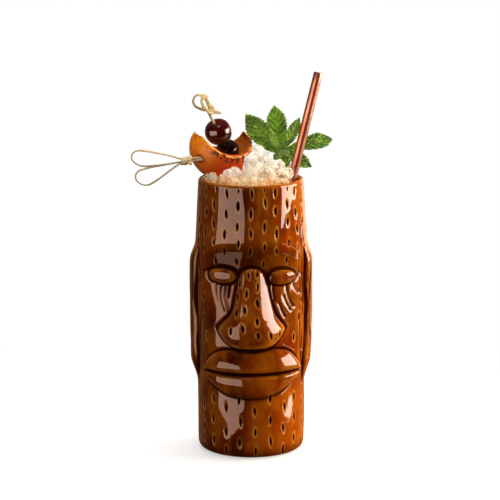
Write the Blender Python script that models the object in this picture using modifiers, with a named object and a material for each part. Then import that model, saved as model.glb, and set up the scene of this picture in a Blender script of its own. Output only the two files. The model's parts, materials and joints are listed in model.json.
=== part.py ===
"""Tiki mug served with crushed ice, a metal straw, mint, a fruit shell and two cherry picks.

Millimetres are used in the constants and turned into metres by MM when a mesh is made.
The face looks along -Y, +X is to its viewer's right, Z is up and the foot stands on Z = 0.
"""
import math
import random

import bmesh
import bpy
from mathutils import Matrix, Vector

MM = 0.001
GAP = 0.35  # clearance between any two pieces

# the mug
MUG_HEIGHT = 180.0
MUG_COLUMNS = 54
FRONT_BUNCHING = 0.42
RIM_RADIUS = 1.55
FOOT_CORNER = 5.0
CAVITY_FLOOR = 7.0
OUTER_RADII = (
    (0.0, 34.5), (20.0, 34.5), (38.0, 34.7), (50.0, 35.5), (62.0, 36.3), (80.0, 36.9),
    (100.0, 37.1), (120.0, 37.1), (136.0, 36.7), (150.0, 35.9), (165.0, 35.0), (180.0, 34.1),
)
CAVITY_RADII = (
    (7.0, 30.0), (20.0, 31.0), (60.0, 32.4), (100.0, 33.1), (125.0, 33.0), (150.0, 32.3),
    (165.0, 31.6), (180.0, 31.0),
)
FACE_ROWS = (
    (178.4, 168.0, 2), (168.0, 134.0, 5), (134.0, 112.0, 8), (112.0, 88.0, 5), (88.0, 40.0, 17),
    (40.0, 5.2, 3),
)
EAR_OUT = 3.2
DRINK_TOP = 118.0

# the straw
STRAW_RADIUS = 3.0
STRAW_BORE = 2.5
STRAW_ENTRY = Vector((27.3, 2.6, 181.1))
STRAW_TOP = Vector((43.7, 7.6, 247.6))
STRAW_LENGTH = 241.0

# the fruit shell
FRUIT_CENTRE = Vector((-19.6, 4.0, 199.0))
FRUIT_RADIUS = 20.6
FRUIT_HOLLOW = (20.3, 17.5, 17.5)
FRUIT_HOLLOW_LIFT = 1.0
FRUIT_LEFT_TIP = Vector((-36.6, -0.5, 210.6))
FRUIT_RIGHT_TIP = Vector((-4.0, 14.0, 208.8))
FRUIT_FRONT_LEFT = Vector((-36.3, -0.8, 211.4))
FRUIT_FRONT_RIGHT = Vector((-5.1, 15.2, 205.9))
FRUIT_FRONT_LOW = Vector((-13.9, -16.0, 196.8))
FRUIT_BACK_LOW = Vector((-10.3, 22.3, 200.4))

# the cherries and the pick that carries them
CHERRY_LARGE = Vector((-21.1, -2.8, 210.3))
CHERRY_LARGE_RADIUS = 8.7
CHERRY_SMALL = Vector((-15.1, 5.0, 196.7))
CHERRY_SMALL_RADIUS = 7.7
KNOT_PICK_RADIUS = 0.95

# the looped pick in the side of the fruit
LOOP_PICK_KNOT = Vector((-42.0, -15.6, 193.6))
LOOP_PICK_WAY = Vector((0.972, 0.230, 0.045)).normalized()
LOOP_PICK_REACH = 25.0
LOOP_STRAND = 0.62

# the mint
MINT_FOOT = Vector((13.0, 7.8, 128.0))
MINT_NODE = Vector((19.6, 13.0, 196.0))
MINT_STEM_RADIUS = 1.1
LEAF_THICKNESS = 0.45
LEAVES = (
    # name, base, tip, width, widest place, face direction, arch, cup
    ("left", (17.6, 12.4, 195.4), (-3.2, 5.6, 221.0), 16.4, 0.60, (-0.3, -1.0, 0.0), 1.6, 1.2),
    ("tall", (19.8, 12.2, 198.6), (14.9, 13.4, 225.4), 14.2, 0.60, (-0.1, -1.0, 0.0), 1.4, 1.2),
    ("upper_right", (22.0, 11.6, 198.4), (31.2, 12.6, 217.6), 8.6, 0.55, (0.3, -0.9, 0.0), 1.0, 0.8),
    ("right", (22.9, 14.6, 195.9), (53.2, 17.6, 202.4), 12.6, 0.66, (0.1, -0.8, 0.6), 2.4, 0.9),
    ("low_right", (22.6, 11.6, 194.2), (39.6, 11.4, 185.4), 10.0, 0.50, (0.2, -0.9, 0.4), 0.8, 0.7),
    ("front", (21.0, 9.7, 195.0), (24.0, 8.6, 185.6), 6.8, 0.50, (-0.2, -0.9, 0.2), 0.3, 0.5),
    ("young", (18.4, 8.8, 197.8), (11.7, 1.8, 211.0), 5.6, 0.55, (-0.3, -1.0, 0.1), 0.4, 0.5),
    ("back", (19.2, 16.6, 195.6), (12.0, 34.0, 204.0), 12.0, 0.55, (0.1, -0.5, 0.8), 2.0, 1.0),
    ("back_right", (22.4, 17.0, 195.2), (24.6, 38.0, 192.8), 11.0, 0.55, (0.1, -0.2, 0.9), 2.0, 1.0),
)

# the loose ice on top: centre and radius of each nugget
NUGGETS = (
    (0.9, -12.0, 190.2, 7.6), (4.4, -3.0, 196.2, 5.2), (10.0, -5.5, 193.8, 4.0),
    (13.2, -9.0, 190.0, 3.6), (18.2, -7.0, 189.2, 3.8), (10.6, -16.6, 184.6, 5.4),
    (20.0, -14.6, 183.4, 4.2), (24.0, -9.5, 184.0, 3.2), (-9.8, -16.4, 184.6, 4.7),
    (-15.0, -18.6, 184.6, 3.7), (-18.2, -20.8, 181.0, 3.6), (-24.8, -15.6, 182.0, 3.6),
    (1.4, -23.0, 180.4, 4.0), (8.2, -24.6, 179.6, 3.6), (-4.4, -22.8, 181.4, 3.6),
    (15.0, -21.6, 180.2, 3.8), (21.4, -19.0, 180.0, 3.2), (-11.0, -24.2, 179.8, 3.6),
    (-28.0, -8.0, 180.8, 3.0), (3.4, 5.6, 192.6, 5.6), (6.2, 17.0, 186.4, 5.6),
    (-2.4, 22.6, 183.0, 4.8), (25.2, 11.8, 182.4, 3.4), (18.0, 23.0, 182.2, 4.6),
    (8.0, 26.4, 181.0, 3.6), (-12.6, 26.2, 180.2, 3.4), (-21.6, 19.6, 179.8, 3.2),
    (11.0, 8.0, 190.8, 3.8),
)
NUGGET_DETAIL = 2
CAVITY_LIMIT = 30.5

random.seed(11)


def clear_scene():
    for old in list(bpy.data.objects):
        bpy.data.objects.remove(old, do_unlink=True)


def new_collection(name):
    made = bpy.data.collections.new(name)
    bpy.context.scene.collection.children.link(made)
    return made


def paint(name, colour, roughness, metallic=0.0, alpha=1.0):
    made = bpy.data.materials.new(name)
    made.use_nodes = True
    shader = made.node_tree.nodes["Principled BSDF"]
    shader.inputs["Base Color"].default_value = (*colour, 1.0)
    shader.inputs["Roughness"].default_value = roughness
    shader.inputs["Metallic"].default_value = metallic
    shader.inputs["Alpha"].default_value = alpha
    made.diffuse_color = (*colour, alpha)
    return made


def place(bm, name, where, material=None):
    mesh = bpy.data.meshes.new(name)
    bm.to_mesh(mesh)
    bm.free()
    made = bpy.data.objects.new(name, mesh)
    where.objects.link(made)
    if material is not None:
        mesh.materials.append(material)
    return made


def smooth_shading(made):
    made.data.shade_smooth()
    made.data.set_sharp_from_angle(angle=math.radians(40))


def set_origin(made, point):
    """Put an object's origin at a point, in millimetres, without moving its shape."""
    made.data.transform(Matrix.Translation(-point * MM))
    made.location = point * MM


def evaluated_bmesh(source):
    bpy.context.view_layer.update()
    graph = bpy.context.evaluated_depsgraph_get()
    mesh = bpy.data.meshes.new_from_object(source.evaluated_get(graph))
    bm = bmesh.new()
    bm.from_mesh(mesh)
    bm.transform(source.matrix_world)
    bpy.data.meshes.remove(mesh)
    return bm


def settle(source, name, where, material):
    """Replace an object and its modifiers by the plain mesh they give."""
    bm = evaluated_bmesh(source)
    bmesh.ops.remove_doubles(bm, verts=bm.verts, dist=0.00001)
    bpy.data.objects.remove(source, do_unlink=True)
    return place(bm, name, where, material)


def between(pairs, z):
    """Smooth value of a (height, radius) list at a height."""
    if z <= pairs[0][0]:
        return pairs[0][1]
    for low, high in zip(pairs, pairs[1:]):
        if z <= high[0]:
            part = (z - low[0]) / (high[0] - low[0])
            part = 0.5 * part + 0.5 * part * part * (3 - 2 * part)
            return low[1] + (high[1] - low[1]) * part
    return pairs[-1][1]


def smooth(low, high, value):
    part = min(1.0, max(0.0, (value - low) / (high - low)))
    return part * part * (3 - 2 * part)


def dome(value, power=2.0):
    """1 at the middle, 0 from an edge of 1 outward."""
    return max(0.0, 1.0 - abs(value) ** power) ** 0.5


# ---- the face ---------------------------------------------------------------

NOSE_WIDTHS = (
    (73.0, 1.0), (75.0, 10.0), (78.0, 17.0), (82.0, 20.6), (87.0, 21.9), (92.0, 20.4),
    (98.0, 15.2), (106.0, 12.3), (114.0, 10.9), (126.0, 9.3),
)
NOSE_HEIGHTS = (
    (73.0, 0.0), (75.5, 4.6), (79.0, 9.0), (84.0, 10.8), (90.0, 10.4), (100.0, 8.2),
    (113.0, 5.4), (122.0, 3.4), (128.0, 1.8),
)


def nose(x, z):
    width = between(NOSE_WIDTHS, z)
    height = between(NOSE_HEIGHTS, z)
    if z > 130.0 or z < 73.0:
        return 0.0
    fade = 1.0 - smooth(124.0, 130.0, z)
    return height * dome(x / width, 2.6) * fade


def lips(x, z):
    middle = 58.4 - 0.0016 * x * x
    half = 30.5
    reach = dome(x / half, 2.4)
    if reach <= 0.0:
        return 0.0
    upper_top = middle + 15.6 * reach + 1.2 - 2.0 * math.exp(-((x / 8.0) ** 2))
    lower_end = middle - 15.2 * reach - 0.4
    if z >= middle:
        part = (z - middle) / (upper_top - middle)
    else:
        part = (middle - z) / (middle - lower_end)
    if part >= 1.0:
        return 0.0
    full = max(0.0, 1.0 - abs(2.0 * part - 1.0) ** 2.6) ** 0.6
    return (1.6 + 4.6 * reach) * full * smooth(0.0, 0.35, reach)


def brow(x, z):
    side = abs(x)
    arch = 127.6 - 0.030 * max(0.0, side - 20.0) ** 2 - 0.022 * max(0.0, 18.0 - side) ** 2
    arch += 4.2 * math.exp(-((side / 6.0) ** 2))
    ridge = smooth(arch - 1.2, arch + 0.8, z) * (1.0 - smooth(arch + 1.0, arch + 17.0, z))
    socket = (1.0 - smooth(arch - 1.4, arch + 0.4, z)) * smooth(104.0, 122.0, z)
    wide = 1.0 - smooth(31.0, 36.0, side)
    return (2.1 * ridge - 1.1 * socket) * wide


def eyes(x, z):
    best = 0.0
    for centre, height in ((-18.6, 121.0), (20.2, 120.2)):
        far = math.hypot((x - centre) / 9.3, (z - height) / 5.4)
        if far < 1.0:
            best = max(best, 2.6 * (1.0 - far ** 3.0) ** 0.6)
    return best


def ears(angle, z):
    """The ears lie along the sides, at about a right angle to the face."""
    across = (abs(angle) - math.radians(89.0)) / math.radians(19.0)
    if abs(across) >= 1.0:
        return 0.0
    along = smooth(45.0, 62.0, z) * (1.0 - smooth(126.0, 139.0, z))
    return EAR_OUT * dome(across, 4.0) * along


def relief(x, z, angle):
    """How far the outside stands off its plain round shape."""
    out = ears(angle, z)
    if abs(angle) < math.radians(80.0):
        soft = 1.0 - smooth(math.radians(60.0), math.radians(78.0), abs(angle))
        face = nose(x, z) + brow(x, z)
        face = max(face, eyes(x, z) + brow(x, z), lips(x, z))
        out += soft * face
    return out


# ---- the mug ------------------------------------------------------------------

def mug_profile():
    """From the middle of the cavity floor, over the rim, down to the middle of the foot."""
    points = [(0.0, CAVITY_FLOOR), (16.0, CAVITY_FLOOR), (25.5, CAVITY_FLOOR)]
    for step in range(1, 5):
        turn = math.radians(22.5 * step)
        points.append((25.5 + 5.0 * math.sin(turn), CAVITY_FLOOR + 5.0 - 5.0 * math.cos(turn)))
    for z in (20.0, 45.0, 75.0, 105.0, 135.0, 158.0, 172.0, 178.4):
        points.append((between(CAVITY_RADII, z), z))
    middle = (between(OUTER_RADII, 178.4) + between(CAVITY_RADII, 178.4)) / 2
    for step in range(1, 4):
        turn = math.radians(45.0 * step)
        points.append((middle - RIM_RADIUS * math.cos(turn), 178.45 + RIM_RADIUS * math.sin(turn)))
    for high, low, count in FACE_ROWS:
        for step in range(count):
            z = high + (low - high) * step / count
            points.append((between(OUTER_RADII, z), z))
    foot = between(OUTER_RADII, FOOT_CORNER)
    for step in range(0, 5):
        turn = math.radians(22.5 * step)
        points.append((foot - FOOT_CORNER + FOOT_CORNER * math.cos(turn),
                       FOOT_CORNER - FOOT_CORNER * math.sin(turn)))
    points.append((0.0, 0.0))
    return points


def lathe(name, points, where, steps, material=None):
    bm = bmesh.new()
    line = [bm.verts.new((x * MM, 0.0, z * MM)) for x, z in points]
    for start, end in zip(line, line[1:]):
        bm.edges.new((start, end))
    made = place(bm, name, where, material)
    turn = made.modifiers.new("turn", "SCREW")
    turn.steps = steps
    turn.render_steps = steps
    turn.use_merge_vertices = True
    turn.merge_threshold = 0.00001
    turn.use_normal_calculate = True
    return made


def shape_mug(bm):
    """Bunch the columns toward the face, then raise the features of the face."""
    for vert in bm.verts:
        radius = math.hypot(vert.co.x, vert.co.y) / MM
        z = vert.co.z / MM
        if radius < 0.001:
            continue
        angle = math.atan2(vert.co.x, -vert.co.y)
        angle -= FRONT_BUNCHING * math.sin(angle)
        outside = radius > between(CAVITY_RADII, z) + 1.7 and z > 2.0
        if outside:
            radius += relief(radius * math.sin(angle), z, angle)
        vert.co.x = radius * math.sin(angle) * MM
        vert.co.y = -radius * math.cos(angle) * MM


def build_mug(parts, tools, material):
    rough = lathe("mug_rough", mug_profile(), tools, MUG_COLUMNS)
    bm = evaluated_bmesh(rough)
    bmesh.ops.remove_doubles(bm, verts=bm.verts, dist=0.00001)
    bpy.data.objects.remove(rough, do_unlink=True)
    shape_mug(bm)
    bmesh.ops.recalc_face_normals(bm, faces=bm.faces)
    return place(bm, "mug_body", parts, material)


# ---- simple solids ------------------------------------------------------------

def aim(way):
    """Turn that takes +Z onto a direction."""
    return way.to_track_quat("Z", "Y").to_matrix().to_4x4()


def rod(name, start, end, radius, where, material=None, sides=24):
    bm = bmesh.new()
    length = (end - start).length * MM
    place_at = Matrix.Translation((start + end) / 2 * MM) @ aim((end - start).normalized())
    bmesh.ops.create_cone(bm, cap_ends=True, segments=sides, radius1=radius * MM,
                          radius2=radius * MM, depth=length, matrix=place_at)
    return place(bm, name, where, material)


def ball(name, centre, radius, where, material=None, across=24, down=14):
    bm = bmesh.new()
    bmesh.ops.create_uvsphere(bm, u_segments=across, v_segments=down, radius=radius * MM,
                              matrix=Matrix.Translation(centre * MM))
    return place(bm, name, where, material)


def cut(target, cutter):
    step = target.modifiers.new("cut_" + cutter.name, "BOOLEAN")
    step.operation = "DIFFERENCE"
    step.solver = "EXACT"
    step.object = cutter


def join(target, other):
    step = target.modifiers.new("join_" + other.name, "BOOLEAN")
    step.operation = "UNION"
    step.solver = "EXACT"
    step.object = other


def wire(name, points, radius, where, closed=False):
    """A round strand along points, as a mesh."""
    curve = bpy.data.curves.new(name, "CURVE")
    curve.dimensions = "3D"
    curve.bevel_depth = radius * MM
    curve.bevel_resolution = 1
    curve.render_resolution_u = 0
    curve.resolution_u = 1
    curve.use_fill_caps = not closed
    spline = curve.splines.new("POLY")
    spline.points.add(len(points) - 1)
    for point, place_at in zip(spline.points, points):
        point.co = (*(Vector(place_at) * MM), 1.0)
    spline.use_cyclic_u = closed
    rough = bpy.data.objects.new(name, curve)
    where.objects.link(rough)
    return settle(rough, name, where, None)


def flowing(points, count):
    """Catmull-Rom points through a list."""
    ends = [Vector(p) for p in points]
    ends = [ends[0] * 2 - ends[1]] + ends + [ends[-1] * 2 - ends[-2]]
    made = []
    for a, b, c, d in zip(ends, ends[1:], ends[2:], ends[3:]):
        for step in range(count):
            t = step / count
            made.append(0.5 * (2 * b + (c - a) * t + (2 * a - 5 * b + 4 * c - d) * t * t
                               + (3 * b - a - 3 * c + d) * t ** 3))
    made.append(ends[-2])
    return made


# ---- straw, drink and packed ice ----------------------------------------------

def straw_way():
    return (STRAW_TOP - STRAW_ENTRY).normalized()


def straw_end():
    return STRAW_TOP - straw_way() * STRAW_LENGTH


def build_straw(parts, tools, material):
    tube = rod("straw", straw_end(), STRAW_TOP, STRAW_RADIUS, parts, material, 24)
    bore = rod("straw_bore", straw_end() - straw_way() * 2, STRAW_TOP + straw_way() * 2,
               STRAW_BORE, tools, None, 24)
    cut(tube, bore)
    set_origin(tube, straw_end())
    return tube


def build_clearances(tools):
    """Room for the straw and the mint stem in what fills the mug."""
    straw = rod("straw_room", straw_end() - straw_way() * 2.0, STRAW_TOP, STRAW_RADIUS + GAP,
                tools, None, 24)
    mint_way = (MINT_NODE - MINT_FOOT).normalized()
    stem = rod("stem_room", MINT_FOOT - mint_way * 1.0, MINT_NODE + mint_way * 6.0,
               MINT_STEM_RADIUS + GAP, tools, None, 12)
    fruit = ball("fruit_room", FRUIT_CENTRE, FRUIT_RADIUS + 0.6, tools, None, 32, 18)
    return straw, stem, fruit


def build_fill(parts, rooms, liquid, ice):
    straw, stem, fruit = rooms
    low = [(0.0, DRINK_TOP)]
    for z in (DRINK_TOP, 90.0, 55.0, 24.0, 14.0):
        low.append((between(CAVITY_RADII, z) - 0.6, z))
    low += [(27.4, CAVITY_FLOOR + 2.2), (24.0, CAVITY_FLOOR + GAP), (0.0, CAVITY_FLOOR + GAP)]
    drink = lathe("drink", low, parts, 40, liquid)
    cut(drink, straw)
    high = [(0.0, 184.0), (8.0, 183.2), (16.0, 180.2), (22.0, 176.6), (28.0, 174.0)]
    for z in (172.0, 150.0, DRINK_TOP + GAP):
        high.append((between(CAVITY_RADII, z) - 0.6, z))
    high.append((0.0, DRINK_TOP + GAP))
    bed = lathe("ice_bed", high, parts, 40, ice)
    for room in (straw, stem, fruit):
        cut(bed, room)
    return drink, bed


# ---- loose ice ------------------------------------------------------------------

def nearest_on_line(point, start, way):
    return start + way * (point - start).dot(way)


def walls_of(index):
    """Planes (outward direction, distance from the centre) that keep a nugget in its place."""
    x, y, z, radius = NUGGETS[index]
    centre = Vector((x, y, z))
    walls = []
    for other, (ox, oy, oz, oradius) in enumerate(NUGGETS):
        if other == index:
            continue
        across = Vector((ox, oy, oz)) - centre
        far = across.length
        if far < radius + oradius + 2.0:
            share = (far * far + radius * radius - oradius * oradius) / (2.0 * far)
            walls.append((across / far, share - GAP / 2))
    mint_way = (MINT_NODE - MINT_FOOT).normalized()
    for start, way, thick in ((STRAW_ENTRY, straw_way(), STRAW_RADIUS),
                              (MINT_NODE, mint_way, MINT_STEM_RADIUS)):
        across = nearest_on_line(centre, start, way) - centre
        walls.append((across.normalized(), across.length - thick - GAP))
    across = FRUIT_CENTRE - centre
    walls.append((across.normalized(), across.length - FRUIT_RADIUS - GAP))
    return centre, radius, walls


def bed_height(x, y):
    """Top of the packed ice under a point."""
    reach = math.hypot(x, y)
    heights = ((0.0, 184.0), (8.0, 183.2), (16.0, 180.2), (22.0, 176.6), (28.0, 174.0), (32.0, 172.0))
    for low, high in zip(heights, heights[1:]):
        if reach <= high[0]:
            return low[1] + (high[1] - low[1]) * (reach - low[0]) / (high[0] - low[0])
    return heights[-1][1]


def build_nugget(index, parts, material):
    centre, radius, walls = walls_of(index)
    lumps = []
    for _ in range(7):
        way = Vector((random.uniform(-1, 1), random.uniform(-1, 1), random.uniform(-1, 1)))
        lumps.append((way.normalized(), random.uniform(-0.16, 0.14)))
    bm = bmesh.new()
    bmesh.ops.create_icosphere(bm, subdivisions=NUGGET_DETAIL, radius=1.0)
    for vert in bm.verts:
        way = vert.co.normalized()
        reach = radius
        for lump, size in lumps:
            reach += radius * size * max(0.0, way.dot(lump)) ** 3
        for wall, far in walls:
            facing = way.dot(wall)
            if facing > 0.05:
                reach = min(reach, max(0.3, far) / facing)
        for _ in range(40):
            spot = centre + way * reach
            inside = math.hypot(spot.x, spot.y) < CAVITY_LIMIT
            above = spot.z > bed_height(spot.x, spot.y) + GAP
            if inside and above:
                break
            reach *= 0.94
        vert.co = (centre + way * reach) * MM
    return place(bm, "ice_%02d" % (index + 1), parts, material)


# ---- fruit, cherries and picks ------------------------------------------------

def half_space(name, a, b, c, kept, tools):
    """A big block whose one face lies on a plane, on the side away from a kept point."""
    normal = (b - a).cross(c - a).normalized()
    if normal.dot(kept - a) > 0:
        normal = -normal
    bm = bmesh.new()
    size = 90.0
    middle = (a + b + c) / 3 + normal * size / 2
    bmesh.ops.create_cube(bm, size=size * MM,
                          matrix=Matrix.Translation(middle * MM) @ aim(normal))
    return place(bm, name, tools)


def pick_way():
    return (CHERRY_SMALL - CHERRY_LARGE).normalized()


def knot_pick_tip():
    """Inside the wall of the fruit, past the small cherry."""
    return CHERRY_SMALL + pick_way() * 14.2


def build_hollow(tools):
    """A long ball lying along the line between the tips, so the wall thins toward them."""
    bm = bmesh.new()
    bmesh.ops.create_uvsphere(bm, u_segments=28, v_segments=16, radius=1.0)
    stretch = Matrix.Diagonal((*(Vector(FRUIT_HOLLOW) * MM), 1.0))
    along = (FRUIT_RIGHT_TIP - FRUIT_LEFT_TIP).to_track_quat("X", "Z").to_matrix().to_4x4()
    middle = (FRUIT_CENTRE + Vector((0, 0, FRUIT_HOLLOW_LIFT))) * MM
    bm.transform(Matrix.Translation(middle) @ along @ stretch)
    return place(bm, "fruit_hollow", tools)


def build_fruit(parts, tools, material):
    low = FRUIT_CENTRE + Vector((0.0, 2.0, -FRUIT_RADIUS))
    shell = ball("fruit_wedge", FRUIT_CENTRE, FRUIT_RADIUS, parts, material, 32, 18)
    hollow = build_hollow(tools)
    front = half_space("fruit_front", FRUIT_FRONT_LEFT, FRUIT_FRONT_RIGHT, FRUIT_FRONT_LOW, low, tools)
    back = half_space("fruit_back", FRUIT_LEFT_TIP, FRUIT_RIGHT_TIP, FRUIT_BACK_LOW, low, tools)
    hole = rod("loop_pick_room", LOOP_PICK_KNOT, LOOP_PICK_KNOT + LOOP_PICK_WAY * 30,
               2.0, tools, None, 20)
    drill = rod("knot_pick_room", CHERRY_SMALL, knot_pick_tip() + pick_way() * 0.4,
                KNOT_PICK_RADIUS + GAP, tools, None, 16)
    for tool in (hollow, front, back, hole, drill):
        cut(shell, tool)
    set_origin(shell, FRUIT_CENTRE)
    return shell


def build_cherry(name, centre, radius, parts, tools, material):
    fruit = ball(name, centre, radius, parts, material, 20, 12)
    way = pick_way()
    drill = rod(name + "_drill", centre - way * (radius + 2), centre + way * (radius + 2),
                KNOT_PICK_RADIUS + GAP, tools, None, 10)
    cut(fruit, drill)
    set_origin(fruit, centre)
    return fruit


def build_knot_pick(parts, tools, material):
    way = pick_way()
    neck = CHERRY_LARGE - way * 20.0
    tip = knot_pick_tip()
    shaft = rod("knot_pick", neck, tip, KNOT_PICK_RADIUS, parts, material, 10)
    loop_points = flowing([
        (-28.2, -12.6, 225.2), (-31.0, -12.4, 226.4), (-34.9, -12.2, 228.4), (-37.1, -12.0, 231.9),
        (-34.6, -12.0, 235.0), (-30.4, -12.2, 234.2), (-30.2, -12.6, 229.8), (-28.6, -13.2, 226.8),
    ], 3)
    loop = wire("knot_loop", loop_points, 0.62, tools)
    wrap_points = flowing([
        (-30.8, -11.4, 233.0), (-28.4, -11.2, 233.6), (-26.0, -11.4, 231.0), (-25.4, -11.8, 227.6),
    ], 3)
    wrap = wire("knot_wrap", wrap_points, 0.7, tools)
    tail_points = flowing([(-26.6, -11.4, 226.6), (-23.4, -11.2, 224.8), (-19.4, -11.0, 224.0)], 3)
    tail = wire("knot_tail", tail_points, 0.7, tools)
    knot = ball("knot_lump", Vector((-27.4, -12.2, 227.6)), 2.3, tools, None, 12, 8)
    for piece in (loop, wrap, tail, knot):
        join(shaft, piece)
    set_origin(shaft, CHERRY_LARGE)
    return shaft


def build_loop_pick(parts, tools, material):
    knot = LOOP_PICK_KNOT
    end = knot + LOOP_PICK_WAY * LOOP_PICK_REACH
    shaft = rod("loop_pick", knot - LOOP_PICK_WAY * 2, end, 1.25, parts, material, 12)
    upper = wire("upper_loop", flowing([
        knot + Vector((0.5, -0.3, 1.3)), (-52.0, -16.4, 196.8), (-62.0, -16.8, 199.0),
        (-71.0, -17.0, 200.4), (-75.4, -17.0, 198.8), (-76.4, -17.0, 195.0),
        (-73.6, -17.0, 191.6), (-68.4, -17.0, 190.2), (-56.0, -16.8, 191.2),
        knot + Vector((0.3, -0.7, -0.4)),
    ], 3), LOOP_STRAND, tools)
    lower = wire("lower_loop", flowing([
        knot + Vector((0.4, 0.2, -1.5)), (-52.0, -15.4, 187.0), (-58.6, -15.6, 182.2),
        (-65.8, -15.8, 177.8), (-71.0, -15.8, 178.4), (-74.0, -15.6, 182.0),
        (-72.6, -15.4, 186.6), (-66.0, -15.2, 188.6), (-56.0, -15.1, 190.8),
        knot + Vector((0.6, 1.0, 0.2)),
    ], 3), LOOP_STRAND, tools)
    lump = rod("loop_lump", knot - LOOP_PICK_WAY * 3.0, knot + LOOP_PICK_WAY * 3.4, 2.5, tools,
               None, 14)
    for piece in (upper, lower, lump):
        join(shaft, piece)
    set_origin(shaft, LOOP_PICK_KNOT)
    return shaft


# ---- mint -----------------------------------------------------------------------

def build_mint(parts, material):
    """The stem and its leaves hang from one empty at the foot of the stem."""
    holder = bpy.data.objects.new("mint_sprig", None)
    parts.objects.link(holder)
    holder.location = MINT_FOOT * MM
    way = (MINT_NODE - MINT_FOOT).normalized()
    pieces = [rod("mint_stem", MINT_FOOT, MINT_NODE + way * 2.0, MINT_STEM_RADIUS, parts,
                  material, 10)]
    pieces += [build_leaf(entry, parts, material) for entry in LEAVES]
    for piece in pieces:
        set_origin(piece, MINT_FOOT)
        piece.location = (0.0, 0.0, 0.0)
        piece.parent = holder


def build_leaf(entry, parts, material):
    name, base, tip, width, widest, facing, arch, cup = entry
    base = Vector(base)
    tip = Vector(tip)
    along = tip - base
    side = along.cross(Vector(facing)).normalized()
    normal = side.cross(along).normalized()
    rows = 8
    power = math.log(0.5) / math.log(widest)
    bm = bmesh.new()
    grid = []
    for row in range(rows + 1):
        part = row / rows
        half = 0.5 * width * max(0.0, math.sin(math.pi * part ** power)) ** 0.8
        half = max(half, 0.45)
        line = []
        for column in range(-2, 3):
            across = column / 2
            lift = arch * math.sin(math.pi * part) + cup * (abs(across) ** 1.5) * half / (0.5 * width)
            spot = base + along * part + side * across * half + normal * (lift - arch * 0.4 * part)
            line.append(bm.verts.new(spot * MM))
        grid.append(line)
    for near, far in zip(grid, grid[1:]):
        for column in range(4):
            bm.faces.new((near[column], near[column + 1], far[column + 1], far[column]))
    leaf = place(bm, "mint_" + name, parts, material)
    thick = leaf.modifiers.new("thickness", "SOLIDIFY")
    thick.thickness = LEAF_THICKNESS * MM
    thick.offset = 0.0
    return leaf


# ---- everything -------------------------------------------------------------------

def main():
    clear_scene()
    parts = new_collection("tiki_mug")
    tools = new_collection("cutters")
    glaze = paint("amber_glaze", (0.34, 0.13, 0.02), 0.18)
    liquid = paint("drink", (0.62, 0.33, 0.08), 0.1, alpha=0.7)
    ice = paint("ice", (0.86, 0.84, 0.80), 0.15, alpha=0.6)
    copper = paint("copper", (0.72, 0.36, 0.24), 0.25, metallic=1.0)
    green = paint("mint", (0.10, 0.30, 0.05), 0.5)
    peel = paint("fruit", (0.86, 0.38, 0.05), 0.4)
    red = paint("cherry", (0.12, 0.01, 0.012), 0.2)
    bamboo = paint("bamboo", (0.70, 0.56, 0.34), 0.6)

    build_mug(parts, tools, glaze)
    build_straw(parts, tools, copper)
    rooms = build_clearances(tools)
    build_fill(parts, rooms, liquid, ice)
    for index in range(len(NUGGETS)):
        build_nugget(index, parts, ice)
    build_fruit(parts, tools, peel)
    build_cherry("cherry_large", CHERRY_LARGE, CHERRY_LARGE_RADIUS, parts, tools, red)
    build_cherry("cherry_small", CHERRY_SMALL, CHERRY_SMALL_RADIUS, parts, tools, red)
    build_knot_pick(parts, tools, bamboo)
    build_loop_pick(parts, tools, bamboo)
    build_mint(parts, green)
    for made in parts.objects:
        if made.type == "MESH":
            smooth_shading(made)
    for tool in tools.objects:
        tool.hide_render = True
        tool.display_type = "WIRE"


main()
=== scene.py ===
"""Looks of the served tiki mug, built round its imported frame.

Shapes are worked out in millimetres and turned into metres by MM when a mesh is made.
The face looks along -Y, +X is to its viewer's right, Z is up and the foot stands on Z = 0.
"""
import json
import math

import bmesh
import bpy
import numpy as np
from mathutils import Matrix, Vector, noise
from mathutils.bvhtree import BVHTree

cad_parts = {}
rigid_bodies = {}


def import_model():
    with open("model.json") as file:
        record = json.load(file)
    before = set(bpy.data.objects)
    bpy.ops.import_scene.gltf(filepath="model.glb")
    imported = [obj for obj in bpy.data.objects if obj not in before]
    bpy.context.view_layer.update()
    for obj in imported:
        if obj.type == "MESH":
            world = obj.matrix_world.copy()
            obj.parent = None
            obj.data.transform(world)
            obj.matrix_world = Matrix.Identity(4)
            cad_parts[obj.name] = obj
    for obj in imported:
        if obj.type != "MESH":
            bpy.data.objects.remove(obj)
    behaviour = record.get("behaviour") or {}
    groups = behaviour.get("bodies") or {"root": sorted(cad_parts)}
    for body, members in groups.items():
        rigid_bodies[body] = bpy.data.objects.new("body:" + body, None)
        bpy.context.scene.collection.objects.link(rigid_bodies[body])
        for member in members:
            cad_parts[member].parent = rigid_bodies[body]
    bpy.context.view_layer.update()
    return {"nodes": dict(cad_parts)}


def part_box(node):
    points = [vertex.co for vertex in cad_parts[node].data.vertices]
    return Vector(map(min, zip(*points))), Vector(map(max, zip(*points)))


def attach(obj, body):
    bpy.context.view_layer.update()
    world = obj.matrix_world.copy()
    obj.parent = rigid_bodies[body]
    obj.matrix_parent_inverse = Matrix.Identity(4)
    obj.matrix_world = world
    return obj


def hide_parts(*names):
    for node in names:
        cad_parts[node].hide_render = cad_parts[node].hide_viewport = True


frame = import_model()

MM = 0.001
WELD = 0.01  # points nearer than this are one
RNG = np.random.default_rng(5)

# camera
CAMERA_AIM = (-0.67, 0, 131.94)
CAMERA_DISTANCE = 1500
CAMERA_ELEVATION = 11.23
CAMERA_LENS = 165.1
CAMERA_SENSOR = 36
FLOOR_SIZE = 4
FLOOR_DROP = 0.0002  # metres under the foot, so that the two don't flicker
FLOOR_FADE = (0.08, 0.3)  # metres from the mug over which the floor melts into the backdrop
FLOOR_LIFT = 0.5  # glow that keeps the shadow on the floor soft

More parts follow.
